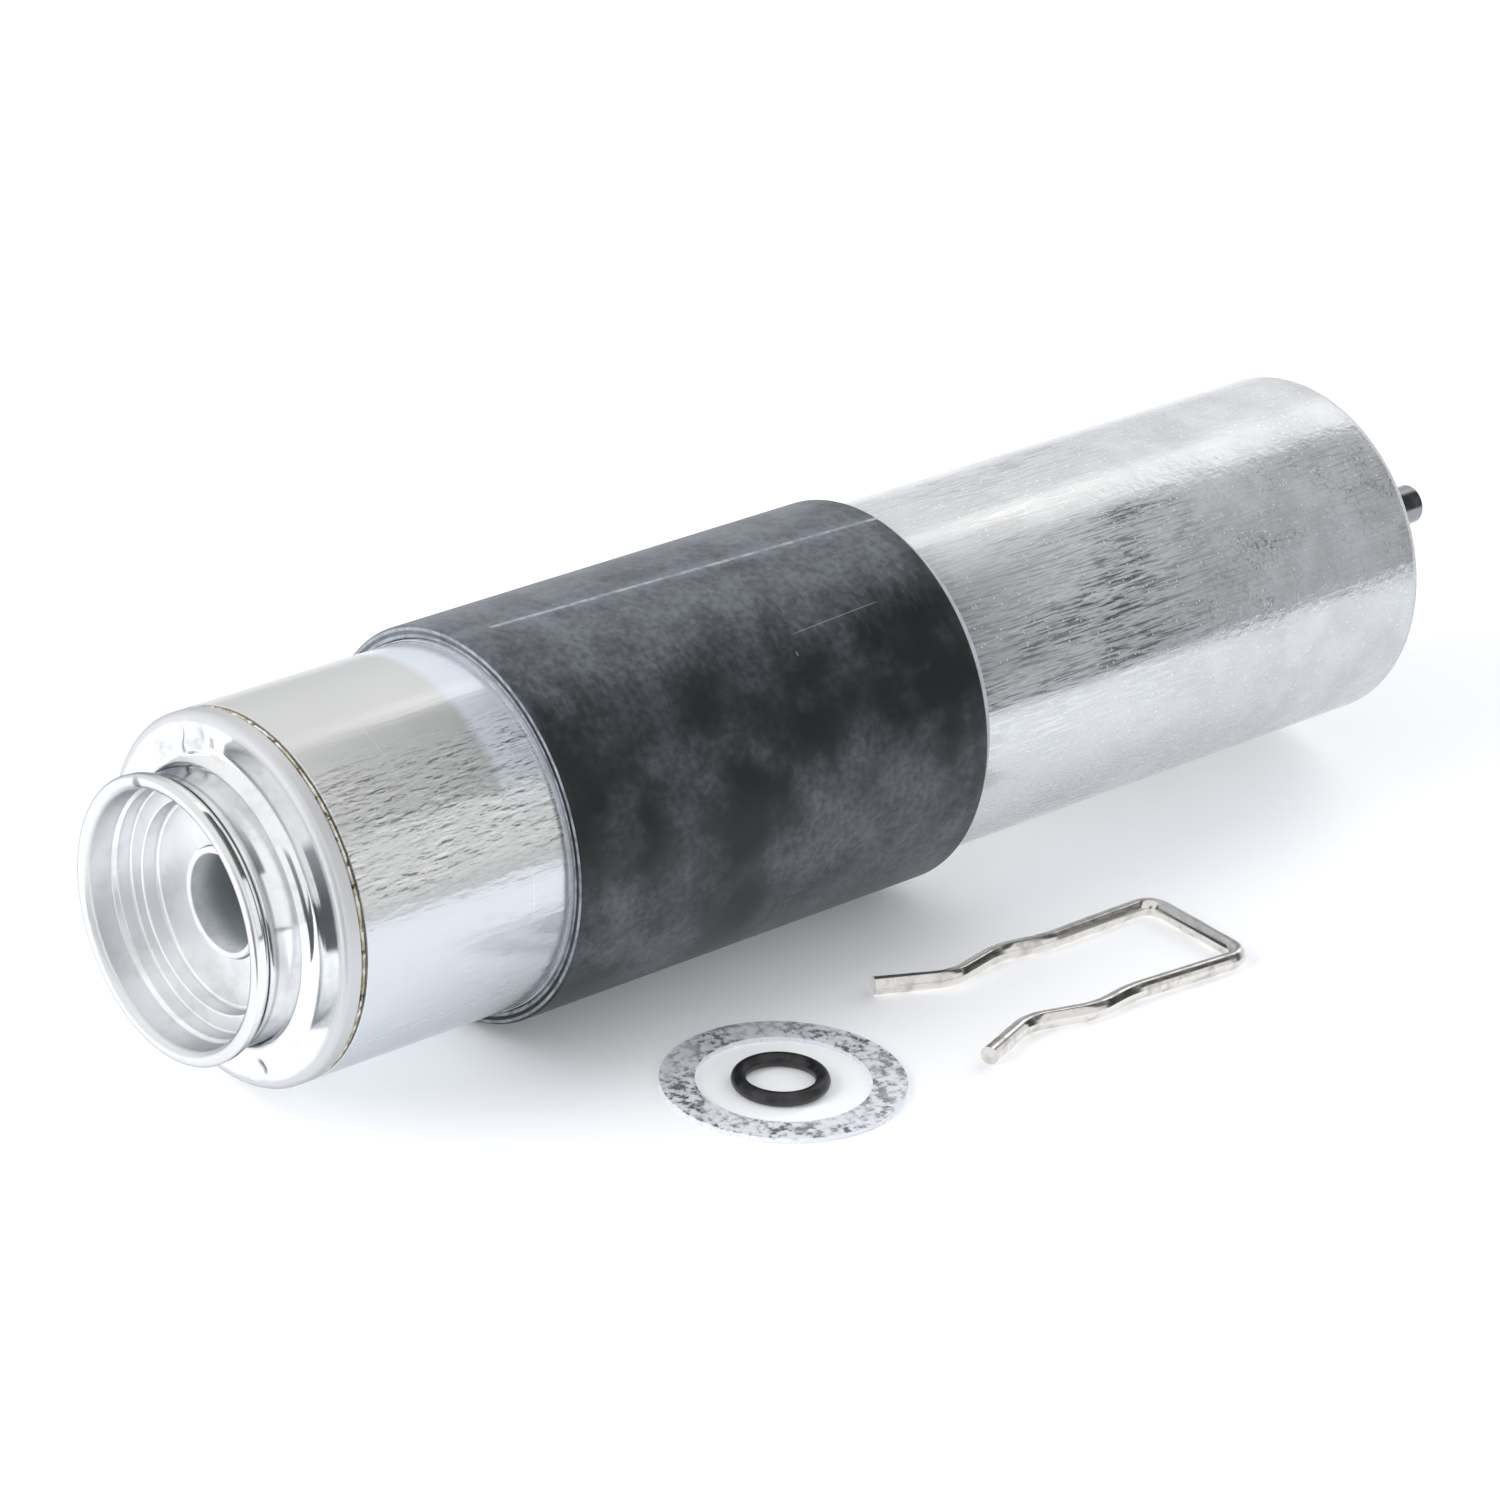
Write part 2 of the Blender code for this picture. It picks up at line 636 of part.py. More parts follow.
def make_spring(parts, axis):
    """Wound spring between the head's web and the front disc."""
    steel = new_material("spring_steel", (0.50, 0.50, 0.52), 0.3, 1.0)
    start = spring_front + SPRING_WIRE / 2
    end = spring_rear - SPRING_WIRE / 2
    count = SPRING_TURNS * TURN_POINTS
    points = []
    for index in range(count + 1):
        angle = math.tau * index / TURN_POINTS
        station = start + (end - start) * index / count
        points.append((spring_radius * math.cos(angle), spring_radius * math.sin(angle), station))
    wire("element_spring", points, SPRING_WIRE, 1, parts, steel, parent=axis)
    apart = [
        (Vector(p) - Vector(q)).length
        for i, p in enumerate(points)
        for q in points[i + TURN_POINTS // 2:]
    ]
    print(f"element_spring least gap to itself: {(min(apart) - SPRING_WIRE) * 1000:.2f} mm")


def make_loose_rings(parts):
    """Flat seal ring of the socket's seat, with the inlet bore's O-ring lying inside it."""
    bright = new_material("seal_ring_metal", (0.80, 0.80, 0.80), 0.3, 1.0)
    centre_y = -(sleeve_radius + SEAL_RING_SPACING)
    centre = bpy.data.objects.new("seal_ring_centre", None)
    parts.objects.link(centre)
    centre.location = (SEAL_RING_X, centre_y, 0.0)
    outline = ring_outline(SEAL_RING_BORE / 2, SEAL_RING_DIAMETER / 2, 0.0, SEAL_RING_THICKNESS)
    turned("flat_seal_ring", outline, INNER_STEPS, parts, bright, centre)
    rubber = new_material("port_ring_rubber", (0.02, 0.02, 0.022), 0.5)
    beside = (PORT_RING_OFFSET_X, PORT_RING_OFFSET_Y, PORT_RING_CORD / 2)
    cord_ring(
        "port_o_ring", INLET_BORE - PORT_RING_CLEARANCE, PORT_RING_CORD, INNER_STEPS, parts, rubber,
        parent=centre, location=beside,
    )


def make_clip(parts):
    """Wire clip: a base bar and two legs, each with a bulge, a pinch and a flared tip."""
    bright = new_material("clip_wire", (0.80, 0.80, 0.79), 0.15, 1.0)
    bulge_x = -CLIP_LEG_LENGTH - CLIP_BULGE_STEP
    pinch_x = bulge_x - CLIP_PINCH_STEP
    tip_x = pinch_x - CLIP_TIP_STEP
    leg = [
        (tip_x, CLIP_TIP_HALF, 0.0),
        (pinch_x, CLIP_PINCH_HALF, CLIP_WAVE_BEND),
        (bulge_x, CLIP_BULGE_HALF, CLIP_WAVE_BEND),
        (-CLIP_LEG_LENGTH, CLIP_LEG_HALF, CLIP_WAVE_BEND),
        (0.0, CLIP_BASE_HALF, CLIP_BASE_BEND),
    ]
    other_leg = [(x, -half, bend) for x, half, bend in reversed(leg)]
    path = [(x, y, 0.0) for x, y in rounded(leg + other_leg, closed=False)]
    wire(
        "retaining_clip", path, CLIP_WIRE, 2, parts, bright,
        location=(CLIP_BASE_X, -(sleeve_radius + CLIP_SPACING), CLIP_WIRE / 2), turn=CLIP_TURN,
    )


def main():
    """Build every piece of the filter and of its loose kit."""
    clear_scene()
    parts = new_collection("fuel_filter")
    cutters = new_collection("fuel_filter_cutters", shown=False)
    axis = bpy.data.objects.new("can_axis", None)
    parts.objects.link(axis)
    axis.location = (0.0, 0.0, axis_height)
    axis.rotation_euler = (0.0, math.pi / 2, 0.0)

    make_can(parts, axis)
    make_head(parts, axis)
    make_inlet_tube(parts, axis)
    make_seam_bead(parts, axis)
    make_sleeve(parts, axis)
    make_nipple(parts, axis)
    make_paper(parts, axis)
    make_discs(parts, axis)
    make_support_tube(parts, cutters, axis)
    make_grommet(parts, axis)
    make_spring(parts, axis)
    make_loose_rings(parts)
    make_clip(parts)


main()
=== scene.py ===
"""Looks of an in-line fuel filter with its rubber mounting sleeve and its loose fitting kit.

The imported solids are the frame. The pieces that show are modelled again here with fine rounding
and dressed with procedural finishes, on a white floor in soft studio light.
"""

from __future__ import annotations

import functools
import logging
import math
import operator
from dataclasses import dataclass
from enum import Enum
from typing import Callable, Iterable, Sequence

import bmesh
import bpy
from mathutils import Matrix, Vector

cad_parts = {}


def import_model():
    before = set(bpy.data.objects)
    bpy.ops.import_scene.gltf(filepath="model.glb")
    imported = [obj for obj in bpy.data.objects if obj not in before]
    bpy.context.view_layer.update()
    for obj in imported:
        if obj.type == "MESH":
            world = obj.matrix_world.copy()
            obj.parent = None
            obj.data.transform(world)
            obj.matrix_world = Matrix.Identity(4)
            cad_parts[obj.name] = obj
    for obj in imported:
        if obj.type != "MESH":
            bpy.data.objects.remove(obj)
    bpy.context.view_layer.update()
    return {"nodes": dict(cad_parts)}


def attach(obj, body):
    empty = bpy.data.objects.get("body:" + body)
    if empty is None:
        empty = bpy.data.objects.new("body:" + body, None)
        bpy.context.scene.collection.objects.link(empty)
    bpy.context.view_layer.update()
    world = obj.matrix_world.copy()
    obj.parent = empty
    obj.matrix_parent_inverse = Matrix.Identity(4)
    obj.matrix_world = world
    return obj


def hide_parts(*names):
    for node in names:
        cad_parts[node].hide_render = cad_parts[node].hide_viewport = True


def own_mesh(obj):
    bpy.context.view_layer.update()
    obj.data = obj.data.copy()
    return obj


Colour = tuple[float, float, float]
Point = tuple[float, float, float]
Feed = "float | tuple | Signal"
Piece = bpy.types.Object
Score = tuple[float, float, float, float, float]

LOG = logging.getLogger("fuel_filter")

AXIS_HEIGHT = 0.0297362
FOLD = math.radians(120.0)
LINE_ANGLE = 86.4
LINE_SLANT = 80.0
MERGE_DISTANCE = 0.000001
SMOOTH_ANGLE = math.radians(38.0)
BEND_SEGMENTS = 9
WIRE_RESOLUTION = 6
FLOOR_LIFT = 0.0005
WHITE = (1.0, 1.0, 1.0)


class TurnAxis(Enum):
    """Direction of the axis that a profile is turned about."""

    LENGTHWISE = (1.0, 0.0, 0.0)
    UPRIGHT = (0.0, 0.0, 1.0)


@dataclass(frozen=True)
class Corner:
    """Corner of a turned profile: its station along the axis, its radius and its rounding."""

    along: float
    out: float
    fillet: float = 0.0


# Node trees


class Signal:
    """Output of a node, which arithmetic carries on with more nodes."""

    def __init__(self, bench: NodeBench, socket: bpy.types.NodeSocket) -> None:
        """Keep the socket and the tree that it is in."""
        self.bench = bench
        self.socket = socket

    def __add__(self, other: Feed) -> Signal:
        """Return the sum."""
        return self.bench.math("ADD", self, other)

    def __sub__(self, other: Feed) -> Signal:
        """Return the difference."""
        return self.bench.math("SUBTRACT", self, other)

    def __rsub__(self, other: float) -> Signal:
        """Return the difference from a number."""
        return self.bench.math("SUBTRACT", other, self)

    def __mul__(self, other: Feed) -> Signal:
        """Return the product."""
        return self.bench.math("MULTIPLY", self, other)

    def __truediv__(self, other: Feed) -> Signal:
        """Return the quotient."""
        return self.bench.math("DIVIDE", self, other)

    def __or__(self, other: Feed) -> Signal:
        """Return the greater of the two."""
        return self.bench.math("MAXIMUM", self, other)

    def __abs__(self) -> Signal:
        """Return the value without its sign."""
        return self.bench.math("ABSOLUTE", self)

    def step(self, low: Feed, high: Feed) -> Signal:
        """Return a smooth step from 0 at low to 1 at high."""
        return self.bench.run("ShaderNodeMapRange", self, low, high, interpolation_type="SMOOTHSTEP")

    def span(self, low: float, high: float) -> Signal:
        """Return a value that runs from low to high as this one runs from 0 to 1."""
        return self.bench.run("ShaderNodeMapRange", self, 0.0, 1.0, low, high)

    def parts(self) -> tuple[Signal, ...]:
        """Return the vector's X, Y and Z."""
        node = self.bench.add("ShaderNodeSeparateXYZ")
        self.bench.feed(node.inputs[0], self)
        return tuple(Signal(self.bench, socket) for socket in node.outputs)


class NodeBench:
    """Places nodes in one node tree and links them."""

    def __init__(self, tree: bpy.types.NodeTree) -> None:
        """Keep the tree to work on."""
        self.tree = tree

    def add(self, kind: str, **settings: object) -> bpy.types.Node:
        """Add a node and set its properties.

        Args:
            kind: Blender's name of the node's type.
            settings: properties of the node, by name.

        Returns:
            The new node.
        """
        node = self.tree.nodes.new(kind)
        for key, value in settings.items():
            setattr(node, key, value)
        return node

    def feed(self, socket: bpy.types.NodeSocket, value: Feed) -> None:
        """Link a socket to a signal, or set its value.

        Args:
            socket: the input to feed.
            value: a signal, a number or a tuple.
        """
        if isinstance(value, Signal):
            self.tree.links.new(value.socket, socket)
        else:
            socket.default_value = value

    def run(self, kind: str, *values: Feed, output: int | str = 0, **settings: object) -> Signal:
        """Add a node and feed its first inputs.

        Args:
            kind: Blender's name of the node's type.
            values: what goes into its inputs, in order.
            output: the output that is wanted.
            settings: properties of the node, by name.

        Returns:
            The output's signal.
        """
        node = self.add(kind, **settings)
        for socket, value in zip(node.inputs, values):
            self.feed(socket, value)
        return Signal(self, node.outputs[output])

    def math(self, operation: str, first: Feed, second: Feed = 0.0, clamp: bool = False) -> Signal:
        """Return the result of a Math node, kept between 0 and 1 if clamp is set."""
        return self.run("ShaderNodeMath", first, second, operation=operation, use_clamp=clamp)

    def blend(self, mask: Feed, first: Feed, second: Feed) -> Signal:
        """Mix two colours.

        Args:
            mask: share of the second colour.
            first: colour where the mask is 0.
            second: colour where the mask is 1.

        Returns:
            The mixed colour's signal.
        """
        node = self.add("ShaderNodeMix", data_type="RGBA", clamp_factor=True)
        sockets = [socket for socket in node.inputs if socket.type == "RGBA"]
        self.feed(node.inputs["Factor"], mask)
        for socket, colour in zip(sockets, (first, second)):
            self.feed(socket, (*colour, 1.0) if isinstance(colour, tuple) else colour)
        return Signal(self, next(socket for socket in node.outputs if socket.type == "RGBA"))

    def layer(self, tone: Feed, layers: Iterable[tuple[Feed, Feed]]) -> Signal:
        """Lay colours over a first one.

        Args:
            tone: the first colour.
            layers: mask and colour of each layer, the lowest first.

        Returns:
            The last colour's signal.
        """
        for mask, colour in layers:
            tone = self.blend(mask, tone, colour)
        return tone

    def bump(self, height: Feed, depth: float, normal: Feed | None = None) -> Signal:
        """Return a normal that follows a height.

        Args:
            height: height from 0 to 1.
            depth: depth in metres of a height of 1.
            normal: normal of an earlier bump, if there is one.

        Returns:
            The normal's signal.
        """
        node = self.add("ShaderNodeBump")
        values = {"Strength": 1.0, "Distance": depth, "Height": height}
        if normal is not None:
            values["Normal"] = normal
        return self.wire(node, values, "Normal")

    def noise(self, vector: Feed, scale: Feed, detail: Feed, rough: float = 0.5) -> Signal:
        """Return a noise texture.

        Args:
            vector: coordinates.
            scale: cells per metre.
            detail: octaves.
            rough: weight of the finer octaves.

        Returns:
            The noise's signal, from 0 to 1.
        """
        values = {"Vector": vector, "Scale": scale, "Detail": detail, "Roughness": rough}
        return self.wire(self.add("ShaderNodeTexNoise"), values, 0)

    def wire(self, node: bpy.types.Node, values: dict[str, Feed], output: int | str) -> Signal:
        """Feed a node's inputs by their names.

        Args:
            node: the node.
            values: what goes into its inputs, by name.
            output: the output that is wanted.

        Returns:
            The output's signal.
        """
        for name, value in values.items():
            self.feed(node.inputs[name], value)
        return Signal(self, node.outputs[output])

    def place(self, group: bpy.types.NodeTree, **values: Feed) -> dict[str, Signal]:
        """Place a shader group.

        Args:
            group: the group's node tree.
            values: values or signals for its inputs, by name, with _ for a space.

        Returns:
            The signals of its outputs, by name.
        """
        node = self.add("ShaderNodeGroup", node_tree=group)
        for name, value in values.items():
            self.feed(node.inputs[name.replace("_", " ")], value)
        return {socket.name: Signal(self, socket) for socket in node.outputs}

    def coordinates(self) -> Signal:
        """Return the Object coordinates."""
        return self.run("ShaderNodeTexCoord", output="Object")


class Effects:
    """Shader groups that several finishes share. Each is built on its first use."""

    @staticmethod
    def start(
        name: str, inputs: dict[str, float | None], outputs: Iterable[str]
    ) -> tuple[NodeBench, dict[str, Signal]]:
        """Start a group with named sockets.

        Args:
            name: the group's name.
            inputs: first value of each input, by name, or None for a vector.
            outputs: name of each output value.

        Returns:
            A bench on the new group and the signals of its inputs, by name.
        """
        group = bpy.data.node_groups.new(name, "ShaderNodeTree")
        for title, value in inputs.items():
            kind = "NodeSocketVector" if value is None else "NodeSocketFloat"
            socket = group.interface.new_socket(title, in_out="INPUT", socket_type=kind)
            if value is not None:
                socket.default_value = value
        for title in outputs:
            group.interface.new_socket(title, in_out="OUTPUT", socket_type="NodeSocketFloat")
        bench = NodeBench(group)
        given = bench.add("NodeGroupInput").outputs
        return bench, {title: Signal(bench, given[title]) for title in inputs}

    @staticmethod
    def end(bench: NodeBench, **values: Signal) -> bpy.types.NodeTree:
        """Hand a group's results to its outputs.

        Args:
            bench: the bench on the group.
            values: signal of each output, by name.

        Returns:
            The finished group.
        """
        node = bench.add("NodeGroupOutput")
        for title, value in values.items():
            bench.feed(node.inputs[title], value)
        return bench.tree

    @classmethod
    @functools.cache
    def axial_grain(cls) -> bpy.types.NodeTree:
        """Return the group of dashes that run along the can, as a drawing die leaves them."""
        inputs = {"Vector": None, "Fineness": 2000.0, "Stretch": 16.0, "Low": 0.45, "High": 0.60}
        bench, given = cls.start("axial_grain", inputs, ("Mask", "Height"))
        along, aside, up = given["Vector"].parts()
        joined = bench.run("ShaderNodeCombineXYZ", along / given["Stretch"], aside, up)
        value = bench.noise(joined, given["Fineness"], 3.0, 0.55)
        return cls.end(bench, Mask=value.step(given["Low"], given["High"]), Height=value)

    @classmethod
    @functools.cache
    def clouds(cls) -> bpy.types.NodeTree:
        """Return the group of soft uneven patches."""
        inputs = {"Vector": None, "Fineness": 60.0, "Low": 0.4, "High": 0.65, "Detail": 6.0}
        bench, given = cls.start("clouds", inputs, ("Mask",))
        value = bench.noise(given["Vector"], given["Fineness"], given["Detail"], 0.6)
        return cls.end(bench, Mask=value.step(given["Low"], given["High"]))

    @classmethod
    @functools.cache
    def specks(cls) -> bpy.types.NodeTree:
        """Return the group of small sparse specks."""
        inputs = {"Vector": None, "Fineness": 300.0, "Size": 0.12, "Share": 0.2}
        bench, given = cls.start("specks", inputs, ("Mask",))
        cells = bench.add("ShaderNodeTexVoronoi", feature="F1")
        near = bench.wire(cells, {"Vector": given["Vector"], "Scale": given["Fineness"]}, "Distance")
        chance = bench.run("ShaderNodeSeparateColor", Signal(bench, cells.outputs["Color"]))
        chosen = bench.math("LESS_THAN", chance, given["Share"])
        return cls.end(bench, Mask=bench.math("LESS_THAN", near, given["Size"]) * chosen)

    @classmethod
    @functools.cache
    def score(cls) -> bpy.types.NodeTree:
        """Return the group of one straight scratch on a round surface, from one place to another."""
        ends = ("Start Along", "Start Angle", "Stop Along", "Stop Angle")
        inputs = dict.fromkeys(("Along", "Angle", *ends, "Radius", "Width"), 0.0)
        bench, given = cls.start("score", inputs, ("Mask",))
        here = given["Along"] - given["Start Along"]
        whole = given["Stop Along"] - given["Start Along"]
        turned = (given["Angle"] - given["Start Angle"]) * given["Radius"]
        swing = (given["Stop Angle"] - given["Start Angle"]) * given["Radius"]
        square = whole * whole + swing * swing
        off = abs(here * swing - turned * whole) / bench.math("SQRT", square)
        share = (here * whole + turned * swing) / square
        line = off.step(given["Width"], given["Width"] * 0.4)
        return cls.end(bench, Mask=line * (share.step(0.0, 0.1) * share.step(1.0, 0.9)))

    @classmethod
    @functools.cache
    def around(cls) -> bpy.types.NodeTree:
        """Return the group of places: along the can, out from its axis and the angle round it.

        The angle is 0 towards the camera's side and grows upwards. It is the same on both sides of a plane
        through the axis, so that it has no jump.
        """
        bench, given = cls.start("around_the_axis", {"Vector": None}, ("Along", "Out", "Angle"))
        along, aside, up = given["Vector"].parts()
        height = up - AXIS_HEIGHT
        flat = bench.run("ShaderNodeCombineXYZ", 0.0, aside, height)
        length = bench.run("ShaderNodeVectorMath", flat, operation="LENGTH", output="Value")
        reach = aside * -math.cos(FOLD) + height * math.sin(FOLD)
        return cls.end(bench, Along=along, Out=length, Angle=FOLD - bench.math("ARCCOSINE", reach / length))


class Paint(NodeBench):
    """Node tree of a finish, with the shared effects at hand."""

    def __init__(self, material: bpy.types.Material) -> None:
        """Start from the material's Principled BSDF."""
        super().__init__(material.node_tree)
        self.shader = material.node_tree.nodes["Principled BSDF"]
        self.where = self.coordinates()

    @functools.cached_property
    def spot(self) -> tuple[Signal, ...]:
        """Place along the can, distance from its axis and angle round it."""
        return tuple(self.place(Effects.around(), Vector=self.where).values())

    def put(self, name: str, value: Feed) -> None:
        """Feed an input of the shader."""
        self.feed(self.shader.inputs[name], value)

    def clouds(self, fineness: float, low: float = 0.4, high: float = 0.65, detail: float = 6.0) -> Signal:
        """Return the mask of soft patches, so many per metre."""
        values = {"Fineness": fineness, "Low": low, "High": high, "Detail": detail}
        return self.place(Effects.clouds(), Vector=self.where, **values)["Mask"]

    def grain(
        self,
        fineness: float,
        stretch: float,
        low: float = 0.45,
        high: float = 0.60,
        where: Signal | None = None,
    ) -> tuple[Signal, ...]:
        """Return the dashes along the can.

        Args:
            fineness: dashes per metre across them.
            stretch: how many times longer than wide they are.
            low: height where the mask starts.
            high: height where the mask is full.
            where: coordinates, if they aren't the object's own.

        Returns:
            The dashes' mask and height.
        """
        values = {"Fineness": fineness, "Stretch": stretch, "Low": low, "High": high}
        return tuple(self.place(Effects.axial_grain(), Vector=where or self.where, **values).values())

    def specks(self, fineness: float, size: float, share: float) -> Signal:
        """Return the mask of sparse specks."""
        values = {"Fineness": fineness, "Size": size, "Share": share}
        return self.place(Effects.specks(), Vector=self.where, **values)["Mask"]

    def near(self, place: Point, far: float, close: float) -> Signal:
        """Return a mask that is full close to a place and empty far from it."""
        away = self.run("ShaderNodeVectorMath", self.where, place, operation="DISTANCE", output="Value")
        return away.step(far, close)

    def scratches(self, radius: float, scores: Iterable[Score]) -> Signal:
        """Return the mask of some straight scratches.

        Args:
            radius: the surface's radius.
            scores: station and degrees of each scratch's start and stop, and its width.

        Returns:
            The mask's signal.
        """
        along, _, angle = self.spot
        masks = []
        for start, start_angle, stop, stop_angle, width in scores:
            ends = {"Start_Along": start, "Start_Angle": math.radians(start_angle)}
            ends |= {"Stop_Along": stop, "Stop_Angle": math.radians(stop_angle)}
            group = self.place(Effects.score(), Along=along, Angle=angle, Radius=radius, Width=width, **ends)
            masks.append(group["Mask"])
        return functools.reduce(operator.or_, masks)


# Finishes


@dataclass(frozen=True)
class Finish:
    """Base of every finish: the values of its shader, patches of a second tone, and fine lines or lumps.

    Patches are given by their fineness and the noise where they start and are full, lines by fineness,
    stretch and depth, and lumps by fineness, octaves and depth.
    """

    name: str
    colour: Colour
    roughness: float
    metallic: float = 0.0
    specular: float = 0.5
    glance: Colour = WHITE
    patch: tuple[float, float, float] = (400.0, 0.4, 0.65)
    shade: float = 0.85
    tint: Colour | None = None
    dots: Colour | None = None
    dulling: float = 0.1
    lines: tuple[float, float, float] | None = None
    lumps: tuple[float, float, float] | None = None

    @functools.cache
    def material(self) -> bpy.types.Material:
        """Return the finish as a material, made on its first use."""
        material = bpy.data.materials.new(self.name)
        material.use_nodes = True
        paint = Paint(material)
        paint.put("Base Color", (*self.colour, 1.0))
        paint.put("Roughness", self.roughness)
        paint.put("Metallic", self.metallic)
        paint.put("Specular IOR Level", self.specular)
        paint.put("Specular Tint", (*self.glance, 1.0))
        self.detail(paint)
        return material

    def shaded(self, share: float) -> Colour:
        """Return the finish's colour times a share."""
        return tuple(share * channel for channel in self.colour)

    def detail(self, paint: Paint) -> None:
        """Add what changes over the surface.

        Args:
            paint: the material's nodes.
        """
        patch = paint.clouds(*self.patch)
        tone = paint.blend(patch, self.colour, self.tint or self.shaded(self.shade))
        if self.dots is not None:
            tone = paint.blend(paint.clouds(700.0, 0.56, 0.62), tone, self.dots)
        paint.put("Base Color", tone)
        if self.dulling > 0.0:
            paint.put("Roughness", patch.span(self.roughness, self.roughness + self.dulling))
        if self.lines is not None:
            fineness, stretch, depth = self.lines
            paint.put("Normal", paint.bump(paint.grain(fineness, stretch)[1], depth))
        elif self.lumps is not None:
            fineness, octaves, depth = self.lumps
            paint.put("Normal", paint.bump(paint.noise(paint.where, fineness, octaves), depth))


@dataclass(frozen=True)
class DrawnAluminium(Finish):
    """Drawn can: a dull scattering skin with burnished dashes along it, waves and scratches, and painted
    reflections, highlights and shade.
    """

    skin: float = 0.38
    burnished: float = 0.11
    front: Colour = (0.645, 0.645, 0.632)
    # Bluish tint of the painted floor reflection low on the can.
    floor_reflection_tint: Colour = (0.665, 0.700, 0.735)
    front_skin: float = 0.88
    radius: float = 0.0275
    front_end: tuple[float, float] = (0.030, -0.030)
    speckle: tuple[float, float] = (0.066, 0.100)
    # Stations where the painted reflection of the sleeve fades in, towards the head and towards the sleeve.
    sleeve_reflection_front: tuple[float, float] = (-0.0485, -0.0462)
    sleeve_reflection_rear: tuple[float, float] = (-0.020, -0.038)
    # Station and radius where the painted dark line on the rear rim fades in.
    rear_edge: tuple[float, float] = (0.1331, 0.1341)
    rear_ring: tuple[float, float] = (0.0262, 0.0268)
    # Offset between two samples of the strokes' height. It sets which flank gets painted highlight and which
    # gets painted shade.
    relief_light_offset: Point = (0.0, 0.00014, 0.00019)
    scores: tuple[Score, ...] = (
        (-0.0629, 71.5, -0.0622, 26.4, 0.00012),
        (-0.0459, 12.8, -0.0461, -4.6, 0.00014),
        (0.0639, 36.0, 0.0787, 37.0, 0.00020),
        (0.0480, 33.5, 0.0590, 34.5, 0.00016),
    )

    def dashes(self, paint: Paint) -> Signal:
        """Return where the skin is burnished: long dashes, and dots towards the rear.

        Args:
            paint: the material's nodes.

        Returns:
            The share of burnished metal, from 0 to 1.
        """
        along, _, angle = paint.spot
        fine, _ = paint.grain(4000.0, 11.0, 0.46, 0.62)
        long, _ = paint.grain(2700.0, 17.0, 0.49, 0.62)
        grit = paint.noise(paint.where, 1800.0, 4.0, 0.7).step(0.44, 0.68)
        rearward = along.step(*self.speckle)
        lines = paint.math("ADD", fine * 0.55, long * 0.95, clamp=True)
        lines = lines * rearward.span(1.0, 0.25) * angle.step(0.45, 0.75).span(0.80, 1.15)
        return lines | grit * (rearward * paint.clouds(230.0, 0.40, 0.66).span(0.20, 0.70))

    def stroke_relief_shading(self, paint: Paint) -> list[Signal]:
        """Return the painted relief shading of the short wavy strokes on the front of the can: lines of
        painted shade, each with an edge of painted highlight.

        Args:
            paint: the material's nodes.

        Returns:
            The masks of the painted shade lines and of the painted highlight edges.
        """
        _, _, angle = paint.spot
        shifted = paint.run("ShaderNodeVectorMath", paint.where, self.relief_light_offset, operation="ADD")
        band = angle.step(0.20, 0.40) * angle.step(1.16, 0.86)
        band = band * paint.clouds(120.0, 0.36, 0.60, 3.0).span(0.45, 1.0)
        slopes = []
        for fineness, stretch in ((1250.0, 4.5), (2300.0, 5.5)):
            _, here = paint.grain(fineness, stretch)
            _, there = paint.grain(fineness, stretch, where=shifted)
            slopes.append(here - there)
        masks = []
        for sign in (1.0, -1.0):
            coarse, small = (slope * sign for slope in slopes)
            masks.append((coarse.step(0.035, 0.15) | small.step(0.06, 0.22) * 0.6) * band)
        return masks

    def detail(self, paint: Paint) -> None:
        """Add dashes, strokes with painted highlight and shade, speckle, waves, scratches, a painted
        reflection of the sleeve, a painted bluish floor reflection low down, painted shade beside the sleeve
        and a painted dark line on the rear rim.

        Args:
            paint: the material's nodes.
        """
        along, out, angle = paint.spot
        patch = paint.clouds(48.0, 0.38, 0.60, 3.0)
        forward = along.step(*self.front_end)
        rearward = along.step(*self.speckle)
        clean = along.step(0.060, 0.046) * angle.step(0.75, 0.98)
        clean = clean * 0.6 | forward * 0.85
        marks = paint.math("MULTIPLY", self.dashes(paint), patch.span(0.42, 1.1), clamp=True) * (1.0 - clean)
        # Painted shade and painted highlight on the two flanks of the front strokes.
        dark, light = (mask * forward for mask in self.stroke_relief_shading(paint))
        scuffs = paint.specks(1500.0, 0.26, 0.16) * (1.0 - forward)
        hairs = paint.scratches(self.radius, self.scores) * 0.5
        # Painted reflection: a bluish tint low on the can, strongest at the front, where it mirrors the
        # shaded floor.
        painted_floor_reflection = angle.step(0.32, 0.12) * forward.span(0.3, 0.9)
        # Painted shade: the reflected dark band is painted darker on the rear can beside the sleeve.
        beside = along.step(0.066, 0.045) * (1.0 - forward) * angle.step(0.28, 0.42) * angle.step(1.05, 0.88)
        stains = paint.clouds(110.0, 0.36, 0.66, 5.0) * (rearward * 0.42)
        # Painted reflection of the sleeve: a bluish-light band on the can just in front of it, where the skin
        # is also less metallic.
        film = along.step(*self.sleeve_reflection_front) * along.step(*self.sleeve_reflection_rear) * angle.step(0.42, 0.80)
